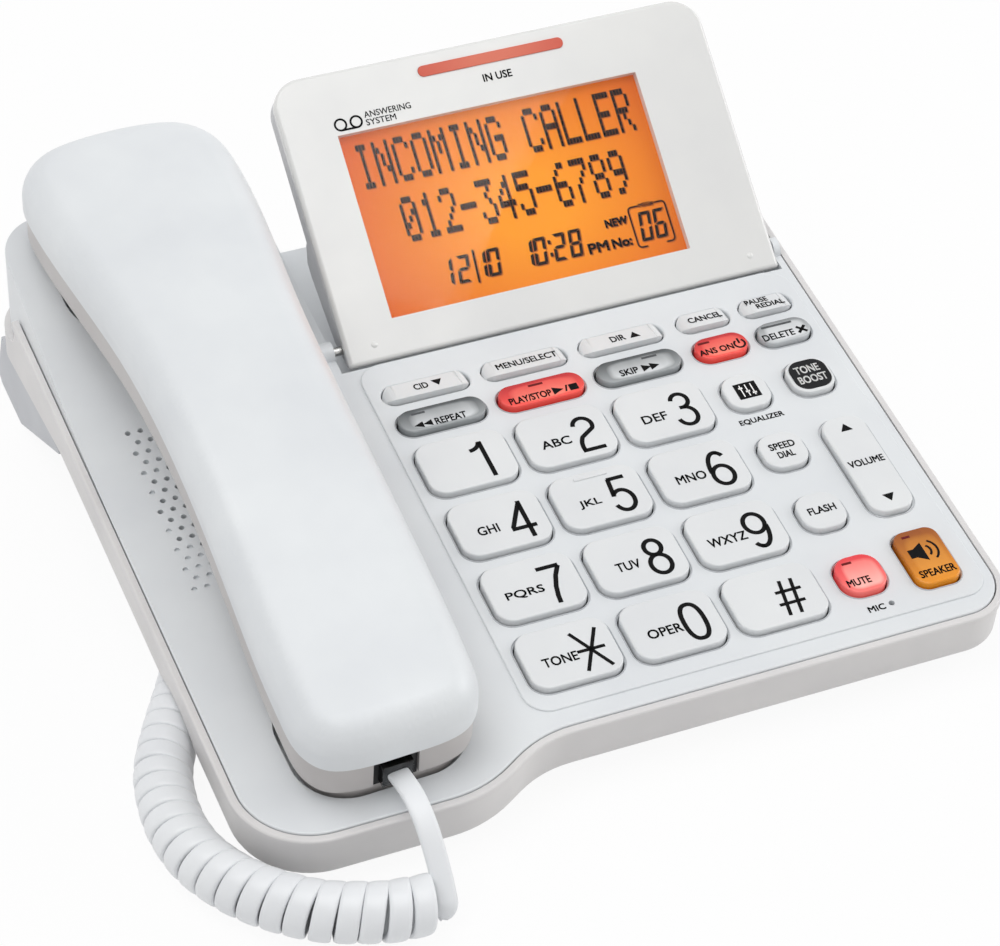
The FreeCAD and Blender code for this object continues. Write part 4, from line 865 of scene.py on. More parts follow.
@dataclass(frozen=True)
class Pad(Mark):
    """A raised pad with rounded corners."""

    centre: Flat
    size: Flat
    corner: float
    height: float = 0.2

    def draw(self) -> Piece:
        """Draws the pad.

        Returns:
            The pad, standing on the print's plane.
        """
        pad = Bench.block("pad", (*self.centre, self.height / 2), (*self.size, self.height))
        Bench.round_edges(pad, lambda a, b: abs(a.z - b.z) > self.height / 2, self.corner, 8)
        Bench.round_edges(pad, lambda a, b: min(a.z, b.z) > self.height - 0.01, 0.12, 2)
        return pad


def numeral_strokes() -> dict[str, list[list[Flat]]]:
    """Draws the dial signs' strokes, in a cell 6.4 wide and 11.9 high with its lower left corner at 0, 0.

    Returns:
        Centre lines of each sign's strokes.
    """
    loop = sweep((3.2, 3.75), (2.55, 3.1), 0, 360, 40)
    tail = sweep((3.55, 5.2), (2.9, 6.05), 182, 70, 22) + sweep((3.2, 8.9), (2.2, 2.38), 80, 22, 8)
    turns = [math.radians(a) for a in range(0, 361, 8)]
    swollen = [[math.copysign(abs(wave(t)) ** 0.82, wave(t)) for t in turns] for wave in (math.cos, math.sin)]
    return {
        "0": [[(3.2 + 2.55 * c, 5.95 + 5.32 * s) for c, s in zip(*swollen)]],
        "1": [[(3.1, 0.0), (3.1, 11.9)], sweep((-0.2, 12.0), (3.1, 2.5), -88, -6, 12)],
        "2": [sweep((3.15, 8.7), (2.4, 2.57), 172, -32, 26) + sweep((8.0, 1.6), (7.4, 6.6), 145, 180, 12)[1:]
              + [(0.62, 0.62)], [(0.1, 0.62), (6.1, 0.62)]],
        "3": [sweep((3.05, 8.95), (2.15, 2.33), 168, -84, 28), sweep((3.05, 3.6), (2.5, 2.98), 88, -168, 30),
              [(2.2, 6.62), (3.4, 6.62)]],
        "4": [[(4.55, 0.0), (4.55, 11.9)], [(4.5, 11.2), (0.5, 3.9)], [(0.1, 3.5), (6.4, 3.5)]],
        "5": [[(1.5, 11.28), (5.8, 11.28)], [(1.75, 11.4), (1.15, 5.6)],
              sweep((3.1, 3.95), (2.55, 3.33), 142, -160, 32)],
        "6": [loop, tail],
        "7": [[(0.4, 11.28), (6.0, 11.28)], [(5.9, 11.1), (4.3, 8.3), (3.1, 5.0), (2.5, 2.2), (2.3, 0.0)]],
        "8": [sweep((3.2, 8.95), (2.05, 2.33), 0, 360, 36), sweep((3.2, 3.55), (2.5, 2.95), 0, 360, 36)],
        "9": [[(6.4 - x, 11.9 - y) for x, y in line] for line in (loop, tail)],
        "#": [[(-0.8, 0.2), (0.9, 10.8)], [(2.1, 0.2), (3.8, 10.8)], [(-2.0, 3.8), (4.6, 3.8)],
              [(-1.5, 7.5), (5.1, 7.5)]],
        "*": [[(0.1, 11.9), (6.5, 0.1)], [(6.5, 11.9), (0.3, 0.1)], [(-0.1, 6.1), (6.8, 6.1)]]}


@dataclass(frozen=True)
class Numeral(Mark):
    """A tall dial numeral, star or hash drawn with one even stroke."""

    sign: str
    low: Flat = (1.89, -7.1975)
    grow: float = 1.05
    stroke: float = 1.2
    thin: float = 0.78

    STROKES: ClassVar[dict[str, list[list[Flat]]]] = numeral_strokes()

    def draw(self) -> Piece:
        """Draws the sign with its cell's lower left corner at low.

        Returns:
            The flat piece.
        """
        lines = [[(x * self.grow + self.low[0], y * self.grow + self.low[1]) for x, y in line]
                 for line in self.STROKES[self.sign]]
        return Lines(lines, self.stroke * (self.thin if self.sign in "#*" else 1.0)).draw()


# ------------------------------------------------------------------------------ keys
class Kind(Enum):
    """Kinds of key."""

    WHITE = "white"
    RED = "red"
    ROSE = "rose"
    GREY = "grey"
    PALE = "pale"
    AMBER = "amber"


@dataclass(frozen=True)
class Tint:
    """Colours of a clear key with its light painted in: its rim and its window, each near and far as painted
    shade, and how much it glows as painted light.
    """

    slot: str
    near: Colour
    far: Colour
    window_near: Colour
    window_far: Colour
    light: float = 0.0

    def lens(self, name: str, centre: Point, reach: Point) -> PaintedLightLens:
        """The finish of such a key about its centre, with a window of that reach."""
        return PaintedLightLens(name, self.near, self.far, self.window_near, self.window_far, centre, reach, self.light)


# Each row: slot, rim near and far, window near and far as painted shade and a painted paler window, then the
# strength of a painted glow.
TINTS = {
    Kind.RED: Tint("red_key", (250, 84, 74), (186, 34, 40), (255, 138, 118), (222, 62, 60), 0.08),
    Kind.ROSE: Tint("red_key", (248, 118, 112), (222, 56, 64), (255, 186, 176), (238, 104, 100), 0.12),
    Kind.GREY: Tint("clear_key", (166, 170, 172), (78, 82, 84), (228, 231, 233), (134, 138, 140)),
    Kind.PALE: Tint("clear_key", (206, 209, 211), (138, 141, 143), (234, 236, 238), (196, 199, 201)),
    Kind.AMBER: Tint("amber_key", (232, 146, 26), (150, 76, 10), (238, 156, 50), (176, 104, 24), 0.06)}


@dataclass(frozen=True)
class CapForm:
    """The form of a keycap about its middle; keys of one form get copies of one modelled cap."""

    width: float
    length: float
    corner: float
    foot: float = -2.9
    sloped: bool = False

    TOP: ClassVar[float] = 1.65
    FAR_TOP: ClassVar[float] = 0.3
    EDGE: ClassVar[float] = 0.45
    CRISP: ClassVar[float] = 50.0
    SLACK: ClassVar[float] = 0.02

    @property
    def slope(self) -> float:
        """Fall of the top over its length, 0 where it is level."""
        return (self.TOP - self.FAR_TOP) / (self.length + 1.0) if self.sloped else 0.0

    def on_top(self, point: Vector) -> bool:
        """Whether a point of the cap lies in its top."""
        return point.z > self.TOP - (point.y + self.length / 2) * self.slope - self.SLACK

    @cache
    def mesh(self) -> bpy.types.Mesh:
        """Models the cap, a block with rounded corners and a soft top edge.

        Returns:
            The cap's mesh, which keys copy.
        """
        cap = Bench.block("cap", (0.0, 0.0, (self.TOP + self.foot) / 2),
                          (self.width, self.length, self.TOP - self.foot))
        if self.sloped:
            Bench.pick_edges(cap, lambda a, b: min(a.z, b.z) > 0 and min(a.y, b.y) > 0)
            bpy.ops.transform.translate(value=(0.0, 0.0, -self.slope * self.length))
            Bench.done()
        Bench.round_edges(cap, lambda a, b: abs(a.z - b.z) > 1, self.corner, 9)
        Bench.round_edges(cap, lambda a, b: self.on_top(a) and self.on_top(b), self.EDGE, 4)
        Bench.smooth(cap, self.CRISP, level=True)
        mesh = cap.data
        bpy.data.objects.remove(cap)
        return mesh


@dataclass
class Key:
    """One key: where it stands on the deck, its form, its kind and what is printed on it."""

    name: str
    x: float
    y: float
    form: CapForm
    kind: Kind
    marks: Sequence[Mark]

    PRINT_LIFT: ClassVar[float] = 0.02
    # where a clear cap's painted paler window sits and how far it reaches
    WINDOW_SHIFT: ClassVar[Flat] = (0.4, -0.3)
    WINDOW_SHARE: ClassVar[float] = 0.42
    WINDOW_DEPTH: ClassVar[float] = 0.01

    @property
    def body(self) -> str:
        """The body that the key moves on."""
        return self.name + "_body"

    def finish(self) -> Finish:
        """Chooses what the cap is made of.

        Returns:
            White plastic, or a clear cap's tint with painted shade, a painted paler window and a painted glow
            about its middle.
        """
        if self.kind not in TINTS:
            return KEY_WHITE
        shift_x, shift_y = self.WINDOW_SHIFT
        centre = tuple(Place.DECK @ Vector((self.x + shift_x, self.y + shift_y, self.form.TOP)))
        share = self.WINDOW_SHARE * Place.MM
        reach = (self.form.width * share, self.form.length * share, self.WINDOW_DEPTH)
        return TINTS[self.kind].lens(self.name + "_lens", centre, reach)

    def build(self) -> None:
        """Builds the cap and its print."""
        cap = Bench.link(self.name + "_cap", self.form.mesh().copy())
        Bench.dress(cap, self.finish())
        Bench.set_down(cap, Place.on(Place.DECK, self.x, self.y, 0.0))
        slot = TINTS[self.kind].slot if self.kind in TINTS else "white_plastic"
        Bench.fit(cap, self.body, slot, self.name)
        if self.marks:
            slope = self.form.slope
            top = self.form.TOP - slope * self.form.length / 2 + self.PRINT_LIFT
            place = Place.on(Place.DECK, self.x, self.y, top, -math.degrees(math.atan(slope)))
            Mark.sheet(self.name + "_print", self.marks, place, self.body)


def window(left: float, right: float, low: float, ink: Finish = LED_RED) -> Filled:
    """The small dark window of a clear key's light."""
    return Filled([rectangle(left, right, low, low + 0.7)], ink=ink)


def slider(x: float, knob: float) -> list[list[Flat]]:
    """A slider's slot and its knob at a height."""
    return [rectangle(x - 0.16, x + 0.16, -2.1, 2.1), rectangle(x - 0.55, x + 0.55, knob - 0.3, knob + 0.3)]


LEGENDS: dict[str, list[Mark]] = {
    "calls_key": [Word("CID", (-3.3, 0.5, -1.15, 1.3)), Filled([triangle(3.2, 0.05, 2.9, -2.6)])],
    "menu_key": [Word("MENU/SELECT", (-7.9, 9.0, -1.15, 1.3))],
    "directory_key": [Word("DIR", (-3.0, 1.0, -1.15, 1.3)), Filled([triangle(3.7, 0.1, 2.9, 2.5)])],
    "cancel_key": [Word("CANCEL", (-4.3, 5.2, -1.15, 1.15))],
    "redial_key": [Word("PAUSE", (-5.2, 1.2, 0.8, 2.8)), Word("REDIAL", (-3.0, 5.0, -1.8, 0.2))],
    "repeat_key": [
        Word("REPEAT", (-2.6, 5.8, -3.2, -1.0)),
        Filled([sideways(-4.7, -2.1, -2.5, 2.1), sideways(-7.1, -2.1, -2.5, 2.1)]),
        window(-7.7, -4.0, 1.7, LED_GREY)],
    "play_stop_key": [
        Word("PLAY/STOP", (-9.6, 2.0, -3.0, -0.75)),
        Filled([sideways(4.0, -1.7, 2.9, 2.6), [(5.7, -2.8), (6.2, -2.8), (6.9, -0.6), (6.4, -0.6)],
                rectangle(7.1, 9.5, -2.9, -0.7)]),
        window(-2.9, 1.1, 1.7)],
    "skip_key": [
        Word("SKIP", (-5.9, -0.8, -2.5, -0.3)),
        Filled([sideways(1.7, -1.4, 2.6, 2.5), sideways(4.0, -1.4, 2.6, 2.5)]),
        window(1.6, 5.9, 1.7, LED_GREY)],
    "answer_on_key": [
        Word("ANS ON", (-6.8, 2.9, -2.3, -0.3)),
        Lines([sweep((4.9, -1.0), (1.45, 1.45), 125, 415), [(4.9, -0.9), (4.9, 1.0)]], 0.55),
        window(-5.9, -2.6, 1.7)],
    "delete_key": [
        Word("DELETE", (-6.8, 2.2, -2.6, -0.4)),
        Lines([[(3.4, -2.4), (5.8, -0.1)], [(3.4, -0.1), (5.8, -2.4)]], 0.8),
        window(-5.7, 3.1, 1.9, LED_GREY)],
    "equalizer_key": [
        Filled([rectangle(-2.9, 3.3, -2.8, 2.8)]),
        Filled(slider(-1.3, 1.1) + slider(0.25, -0.4) + slider(1.8, -1.3), ink=PALE_INK, lift=0.03)],
    "tone_boost_key": [
        Pad((0.1, 0.15), (10.4, 10.3), 3.6, ink=GLOSS_BLACK),
        Word("TONE", (-3.5, 3.3, 0.7, 3.3), ink=PALE_INK, lift=0.2),
        Word("BOOST", (-3.9, 4.1, -2.9, -0.3), ink=PALE_INK, lift=0.2)],
    "speed_dial_key": [Word("SPEED", (-3.3, 3.7, 0.3, 2.5)), Word("DIAL", (-2.2, 2.3, -2.8, -0.7))],
    "flash_key": [Word("FLASH", (-3.5, 3.9, -1.0, 1.3))],
    "mute_key": [Word("MUTE", (-4.8, 1.4, -3.6, -1.4)), window(-3.4, -0.8, 3.5)],
    "speaker_key": [
        Filled([[(-4.2, -0.1), (-2.6, -0.1), (-2.6, 2.7), (-4.2, 2.7)],
                [(-2.6, -0.1), (0.0, -1.8), (0.0, 4.3), (-2.6, 2.7)]]),
        Lines([sweep((0.0, 1.3), (1.7, 1.9), -55, 55, 12), sweep((0.0, 1.3), (3.5, 3.6), -55, 55, 14)], 0.6),
        Word("SPEAKER", (-4.7, 5.0, -6.8, -4.5)),
        window(-3.6, -1.4, 6.6)],
    "volume_rocker": [
        Word("VOLUME", (-4.9, 4.9, -0.7, 1.5)),
        Filled([triangle(0.2, 13.2, 3.3, 2.6), triangle(0.1, -12.9, 3.3, -2.6)])]}


@dataclass
class Keypad:
    """The deck's keys, their print, and the print on the plate between them."""

    first: Flat = (-18.05, 42.7)
    pitch: Flat = (27.4, 22.476)
    signs: tuple[str, ...] = ("123", "456", "789", "*0#")
    side_x: Flat = (60.2, 78.6)
    soft_x: tuple[float, ...] = (-18.0, 9.6, 37.2, 61.0, 79.4)
    soft_width: Flat = (23.6, 14.8)
    menu_y: float = 72.0
    menu_size: Flat = (6.5, 3.2)
    tape_y: float = 60.4
    tape_size: Flat = (7.9, 3.9)
    clear_foot: float = -2.05
    dial: CapForm = CapForm(23.9, 18.0, 4.5)
    side: CapForm = CapForm(12.0, 12.0, 4.5)
    speaker_corner: float = 3.2
    rocker_corner: float = 4.3
    bead: tuple[Flat, ...] = ((0.6, -0.02), (0.7, 0.2), (0.85, 0.2), (0.98, -0.02))
    bar_size: Point = (9.0, 0.8, 0.4)
    bar_level: float = 1.8
    bar_inset: float = 2.0
    bar_edge: float = 0.18
    letters: dict[str, tuple[str, float, float]] = field(default_factory=lambda: {
        "2": ("ABC", -7.5, 0.5), "3": ("DEF", -6.8, 0.0), "4": ("GHI", -6.4, -0.9), "5": ("JKL", -6.35, -0.5),
        "6": ("MNO", -7.1, 0.9), "7": ("PQRS", -7.8, 2.1), "8": ("TUV", -6.0, 0.3), "9": ("WXYZ", -8.4, 1.9),
        "0": ("OPER", -7.3, 1.7), "*": ("TONE", -7.4, 1.6)})

    def dial_keys(self) -> list[Key]:
        """Lays out the twelve dial keys, each with its numeral and the letters left of it.

        Returns:
            The keys, row by row.
        """
        keys = []
        for row, line in enumerate(self.signs):
            for column, sign in enumerate(line):
                marks: list[Mark] = [Numeral(sign)]
                if sign in self.letters:
                    text, left, right = self.letters[sign]
                    marks.append(Word(text, (left, right, -2.9, -0.1)))
                name = {"*": "key_star", "#": "key_hash"}.get(sign, "key_" + sign)
                x, y = self.first[0] + column * self.pitch[0], self.first[1] - row * self.pitch[1]
                keys.append(Key(name, x, y, self.dial, Kind.WHITE, marks))
        return keys

    def soft_keys(self) -> list[Key]:
        """Lays out the sloped menu keys, and the clear keys of the answering system below them.

        Returns:
            The keys, row by row.
        """
        wide, narrow = self.soft_width
        widths = (wide, wide, wide, narrow, narrow)
        menu = ("calls_key", "menu_key", "directory_key", "cancel_key", "redial_key")
        tape = {"repeat_key": Kind.GREY, "play_stop_key": Kind.RED, "skip_key": Kind.GREY,
                "answer_on_key": Kind.RED, "delete_key": Kind.PALE}
        keys = []
        for name, x, width in zip(menu, self.soft_x, widths):
            form = CapForm(width, *self.menu_size, sloped=True)
            keys.append(Key(name, x, self.menu_y, form, Kind.WHITE, LEGENDS[name]))
        for (name, kind), x, width in zip(tape.items(), self.soft_x, widths):
            form = CapForm(width, *self.tape_size, self.clear_foot)
            keys.append(Key(name, x, self.tape_y, form, kind, LEGENDS[name]))
        return keys

    def side_keys(self) -> list[Key]:
        """Lays out the two columns of small keys at the right.

        Returns:
            The keys.
        """
        left, right = self.side_x
        step, size = self.pitch[1], self.side.width
        mute = CapForm(size, size, self.side.corner, self.clear_foot)
        speaker = CapForm(size, self.dial.length, self.speaker_corner, self.clear_foot)
        rocker = CapForm(size, step + size, self.rocker_corner)
        table = (("equalizer_key", left, 0, self.side, Kind.WHITE),
                 ("tone_boost_key", right, 0, self.side, Kind.WHITE),
                 ("speed_dial_key", left, 1, self.side, Kind.WHITE),
                 ("flash_key", left, 2, self.side, Kind.WHITE),
                 ("mute_key", left, 3, mute, Kind.ROSE),
                 ("speaker_key", right, 3, speaker, Kind.AMBER),
                 ("volume_rocker", right, 1.5, rocker, Kind.WHITE))
        return [Key(name, x, self.first[1] - row * step, form, kind, LEGENDS[name])
                for name, x, row, form, kind in table]

    @staticmethod
    def ring(key: Key, out: float, height: float) -> list[Point]:
        """Draws a rounded outline about a key.

        Args:
            key: The key.
            out: How far it stands off the cap.
            height: How high it lies over the deck.

        Returns:
            Its points in order.
        """
        form = key.form
        bend = min(form.corner, form.width / 2, form.length / 2)
        points = []
        for turn, (side_x, side_y) in enumerate(((1, 1), (-1, 1), (-1, -1), (1, -1))):
            x = key.x + side_x * (form.width / 2 - bend)
            y = key.y + side_y * (form.length / 2 - bend)
            arc = sweep((x, y), (bend + out, bend + out), 90 * turn, 90 * turn + 90, 8)
            points += [(px, py, height) for px, py in arc]
        return points

    def rims(self, keys: Sequence[Key]) -> None:
        """Builds the low bead round the hole of each key that stands in the plate, in a darker white that
        paints the shade along it.

        Args:
            keys: All keys; the sloped ones have none.
        """
        points: list[Point] = []
        faces: list[list[int]] = []
        for key in keys:
            if key.form.sloped:
                continue
            first = len(points)
            rings = [self.ring(key, out, height) for out, height in self.bead]
            count = len(rings[0])
            for ring in rings:
                points += ring
            for level in range(len(rings) - 1):
                for k in range(count):
                    a, b = first + level * count + k, first + level * count + (k + 1) % count
                    faces.append([a, a + count, b + count, b])
        data = bpy.data.meshes.new("key_rims")
        data.from_pydata(points, [], faces)
        piece = Bench.link("key_rims", data)
        Bench.smooth(piece, 20.0)
        Bench.dress(piece, RIM_SHADE_GREY)
        Bench.set_down(piece, Place.DECK)
        Bench.fit(piece, "base", "white_plastic")

    def touch_bar(self) -> None:
        """Builds the raised bar on the middle key that fingers find."""
        x, y = self.first[0] + self.pitch[0], self.first[1] - self.pitch[1]
        y += self.dial.length / 2 - self.bar_inset
        bar = Bench.block("key_5_bar", (x, y, self.bar_level), self.bar_size)
        Bench.round_edges(bar, lambda a, b: min(a.z, b.z) > self.bar_level, self.bar_edge, 3)
        Bench.smooth(bar)
        Bench.dress(bar, KEY_WHITE)
        Bench.set_down(bar, Place.DECK)
        Bench.fit(bar, "key_5_body", "white_plastic")

    def build(self) -> None:
        """Builds the keypad."""
        keys = self.dial_keys() + self.soft_keys() + self.side_keys()
        for key in keys:
            key.build()
        self.rims(keys)
        self.touch_bar()
        words = [Word("EQUALIZER", (54.3, 66.7, 32.4, 34.4)), Word("MIC", (57.4, 61.9, -36.2, -34.4))]
        Mark.sheet("plate_print", words, Place.on(Place.DECK, 0, 0, Key.PRINT_LIFT), "base")


# ------------------------------------------------------------------------------ display
@dataclass
class Screen:
    """What the liquid-crystal panel shows, in the display's own frame."""

    dot: Flat = (0.89, 1.78)
    gap: float = 0.07
    bar: float = 0.9
    lean: float = 0.13
    level: float = -2.16
    shade_drop: float = 0.03
    shade_shift: Flat = (0.28, -0.3)
    rows: tuple[tuple[str, float, float, float], ...] = (
        ("INCOMING CALLER", -16.1, 46.3, 5.33), ("012-345-6789", -8.1, 29.8, 5.45))
    date_and_time: tuple[tuple[str, float], ...] = (
        ("1", -2.4), ("2", 2.4), ("1", 7.2), ("0", 11.0), ("1", 20.6), ("0", 24.4), ("2", 30.0), ("8", 34.6))
    signs: dict[str, tuple[int, ...]] = field(default_factory=lambda: {
        "A": (14, 17, 17, 31, 17, 17, 17), "C": (14, 17, 16, 16, 16, 17, 14),
        "E": (31, 16, 16, 30, 16, 16, 31), "G": (14, 17, 16, 23, 17, 17, 14),
        "I": (14, 4, 4, 4, 4, 4, 14), "L": (16, 16, 16, 16, 16, 16, 31),
        "M": (17, 27, 21, 21, 17, 17, 17), "N": (17, 25, 21, 21, 19, 17, 17),
        "O": (14, 17, 17, 17, 17, 17, 14),
        "R": (30, 17, 17, 30, 20, 18, 17), "0": (14, 17, 19, 21, 25, 17, 14), "1": (4, 12, 4, 4, 4, 4, 14),
        "2": (14, 17, 1, 2, 4, 8, 31), "3": (31, 2, 4, 2, 1, 17, 14), "4": (2, 6, 10, 18, 31, 2, 2),
        "5": (31, 16, 30, 1, 1, 17, 14), "6": (6, 8, 16, 30, 17, 17, 14), "7": (31, 1, 2, 4, 8, 8, 8),
        "8": (14, 17, 17, 14, 17, 17, 14), "9": (14, 17, 17, 15, 1, 2, 12), "-": (0, 0, 0, 31, 0, 0, 0),
        " ": ()})
    bars: dict[str, str] = field(default_factory=lambda: {
        "0": "abcdef", "1": "bc", "2": "abged", "6": "afgecd", "8": "abcdefg"})

    def dots(self) -> list[list[Flat]]:
        """Draws the two upper lines; each sign is seven rows of five dots, a row's dots being bits.

        Returns:
            The dark dots.
        """
        found = []
        width, height = self.dot
        for text, left, low, pitch in self.rows:
            for place, sign in enumerate(text):
                for row, bits in enumerate(self.signs[sign]):
                    for column in range(5):
                        if bits >> (4 - column) & 1:
                            x = left + place * pitch + column * width
                            y = low + (6 - row) * height
                            found.append(rectangle(x, x + width - self.gap, y, y + height - self.gap))
        return found

    def numeral(self, sign: str, x: float, y: float, width: float, height: float) -> list[list[Flat]]:
        """Draws a leaning seven-bar numeral.

        Args:
            sign: The numeral.
            x: Its left edge at half height.
            y: Its lower edge.
            width: Its width.
            height: Its height.

        Returns:
            Its bars, with mitred ends.
        """
        t, half = self.bar, height / 2
        over, under = half + t / 2, half - t / 2
        bars = {"a": [(0.1, height), (width - 0.1, height), (width - t, height - t), (t, height - t)],
                "b": [(width, height - 0.1), (width, half + 0.15), (width - t, over + 0.1),
                      (width - t, height - t)],
                "c": [(width, half - 0.15), (width, 0.1), (width - t, t), (width - t, under - 0.1)],
                "d": [(0.1, 0.0), (width - 0.1, 0.0), (width - t, t), (t, t)],
                "e": [(0.0, half - 0.15), (0.0, 0.1), (t, t), (t, under - 0.1)],
                "f": [(0.0, height - 0.1), (0.0, half + 0.15), (t, over + 0.1), (t, height - t)],
                "g": [(0.3, half), (t, over), (width - t, over), (width - 0.3, half), (width - t, under),
                      (t, under)]}
        return [[(x + px + (py - half) * self.lean, y + py) for px, py in bars[b]] for b in self.bars[sign]]

    def lower_line(self) -> list[list[Flat]]:
        """Draws the date, the time and the message number of the lowest line.

        Returns:
            Their bars and dots.
        """
        shapes: list[list[Flat]] = []
        for sign, x in self.date_and_time:
            shapes += self.numeral(sign, x, 15.7, 3.5, 7.6)
        shapes += [[(7.0, 14.9), (7.6, 14.9), (8.2, 24.0), (7.6, 24.0)], rectangle(28.6, 29.4, 17.3, 18.4),
                   rectangle(28.8, 29.6, 20.8, 21.9)]
        return shapes + self.numeral("0", 55.4, 15.6, 3.4, 8.2) + self.numeral("6", 59.6, 15.6, 3.4, 8.2)

    @staticmethod
    def bracket() -> list[list[Flat]]:
        """Draws the rounded bracket round the message number.

        Returns:
            The centre lines of its two halves.
        """
        left = [(56.6, 25.6), (54.4, 25.6), *sweep((54.4, 24.5), (1.0, 1.1), 90, 180, 6), (53.4, 15.4),
                *sweep((54.5, 15.3), (1.1, 1.1), 180, 270, 6), (56.0, 14.2)]
        right = [(61.2, 25.6), (63.2, 25.6), *sweep((63.2, 24.5), (1.0, 1.1), 90, 0, 6), (64.2, 15.4),
                 *sweep((63.1, 15.3), (1.1, 1.1), 0, -90, 6), (61.6, 14.2)]
        return [left, right]

    def build(self) -> None:
        """Builds the segments, and the shade that they throw on the light behind them."""
        words = (("NEW", (46.1, 52.4, 21.6, 23.7), 0.14), ("PM", (39.5, 45.1, 15.6, 18.3), 0.14),
                 ("No:", (46.4, 51.9, 15.6, 18.1), 0.14), ("MSG#", (56.8, 61.0, 25.0, 26.2), 0.04))
        for name, ink, level, shift in (
                ("screen_segments", SEGMENT_INK, self.level, (0.0, 0.0)),
                ("screen_segment_shade", SHADE_INK, self.level - self.shade_drop, self.shade_shift)):
            marks = [Filled(self.dots() + self.lower_line(), ink=ink), Lines(self.bracket(), 0.45, ink=ink)]
            marks += [Word(text, box, heavy, ink=ink) for text, box, heavy in words]
            Mark.sheet(name, marks, Place.on(Place.HEAD, *shift, level), "display", "screen")


@dataclass
class Display:
    """The tilting display: face, pane, lit panel, lamp and rear cover."""

    panel: Point = (23.6, 36.1, -3.0)
    panel_size: Flat = (85.9, 51.1)
    lamp: Point = (28.0, 74.2, 0.0)

    def build(self) -> None:
        """Builds the display."""
        Shell("display_frame", "display_face", FACE_WHITE, "display", "white_plastic").build()
        self.pane()
        Shell("display_rear_cover", "display_back", COVER_GREY, "display", "warm_grey_plastic").build()
        self.light()
        Screen().build()
        self.face_print()

    def pane(self) -> None:
        """Builds the thin clear pane over the panel."""
        pane = Bench.block("display_glass", (self.panel[0], self.panel[1], -0.5), (*self.panel_size, 0.5))
        Bench.round_edges(pane, lambda a, b: min(a.z, b.z) > -0.3, 0.12, 2)
        Bench.smooth(pane)
        Bench.dress(pane, PANE)
        Bench.set_down(pane, Place.HEAD)
        Bench.fit(pane, "display", "clear_window", "display_window")

    def light(self) -> None:
        """Builds the glowing panel behind the segments, and the in-use lamp."""
        middle = tuple(Place.HEAD @ Vector((self.panel[0] + 4.0, self.panel[1] - 4.0, self.panel[2])))
        lamp = tuple(Place.HEAD @ Vector(self.lamp))
        amber = Glow("screen_light", (240, 148, 34), (200, 76, 12), middle, (0.06, 0.044, 0.06), 0.2)
        red = Glow("lamp_red", (220, 124, 104), (204, 88, 76), lamp, (0.03, 0.006, 0.01), 0.02)
        Shell("lcd_panel", "screen_panel", amber, "display", "screen").build()
        Shell("in_use_lamp", "lamp_bar", red, "display", "lamp").build()

    @staticmethod
    def face_print() -> None:
        """Prints the reels sign and the words on the face."""
        reels = [sweep((x, 64.5), (1.55, 1.55), 0, 360, 30) for x in (-17.8, -13.4)]
        marks = [Lines(reels, 0.55), Lines([[(-17.8, 62.95), (-13.4, 62.95)]], 0.55),
                 Word("ANSWERING", (-10.8, 2.4, 65.0, 66.7), 0.02),
                 Word("SYSTEM", (-10.8, -2.4, 62.8, 64.5), 0.02),
                 Word("IN USE", (24.2, 32.4, 67.8, 69.9))]
        Mark.sheet("face_print", marks, Place.on(Place.HEAD, 0, 0, Key.PRINT_LIFT), "display")


# ------------------------------------------------------------------------------ shells
@dataclass
class Housing:
    """The base's shells, its stand and the feet under it."""

    shells: tuple[Shell, ...] = (
        Shell("top_housing", "deck_shell", WHITE, "base", "white_plastic"),
        Shell("bottom_housing", "lower_shell", GREY, "base", "warm_grey_plastic"),
        Shell("desk_stand", "stand", STAND_GREY, "base", "warm_grey_plastic"),
        Shell("rubber_feet", "feet", FOOT_RUBBER, "base", "rubber"))

    def build(self) -> None:
        """Builds the housing."""
        for shell in self.shells:
            shell.build()


@dataclass
class Handset:
    """The handset's shells, its jack and plug, and the hook plunger under it."""

    shells: tuple[Shell, ...] = (
        Shell("handset_top_shell", "handset_back", WHITE, "handset", "white_plastic"),
        Shell("handset_bottom_shell", "handset_front", CUP_GREY, "handset", "warm_grey_plastic"),
        Shell("handset_jack", "handset_socket", JACK_BLACK, "handset", "black_plastic"),
        Shell("handset_cord_plug", "handset_plug", PLUG_CLEAR, "handset", "clear_plug"),
        Shell("hook_switch", "hook_plunger", WHITE, "hook", "white_plastic"))

    def build(self) -> None:
        """Builds the handset."""
        for shell in self.shells:
            shell.build()


@dataclass
class Insides:
    """Pieces that keep their CAD shape and only get a finish."""

    nodes: dict[str, Finish] = field(default_factory=lambda: {
        "housing_screws": STEEL, "handset_screws": STEEL, "hinge_pins": STEEL, "main_board": BOARD,
        "key_mat": MAT_RUBBER, "status_leds": PANE, "loudspeaker": JACK_BLACK, "line_jack": JACK_BLACK,
        "power_jack": JACK_BLACK, "cord_jack": JACK_BLACK, "base_cord_plug": PLUG_CLEAR,
        "backlight_panel": PALE_INK, "handset_receiver": JACK_BLACK, "handset_microphone": STEEL})

    def build(self) -> None:
        """Dresses each piece."""
        for node, finish in self.nodes.items():
            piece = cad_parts[node]
            if not piece.material_slots:
                piece.data.materials.append(finish.material())
            for holder in piece.material_slots:
                holder.material = finish.material()
            LOG.info("%s dressed", node)


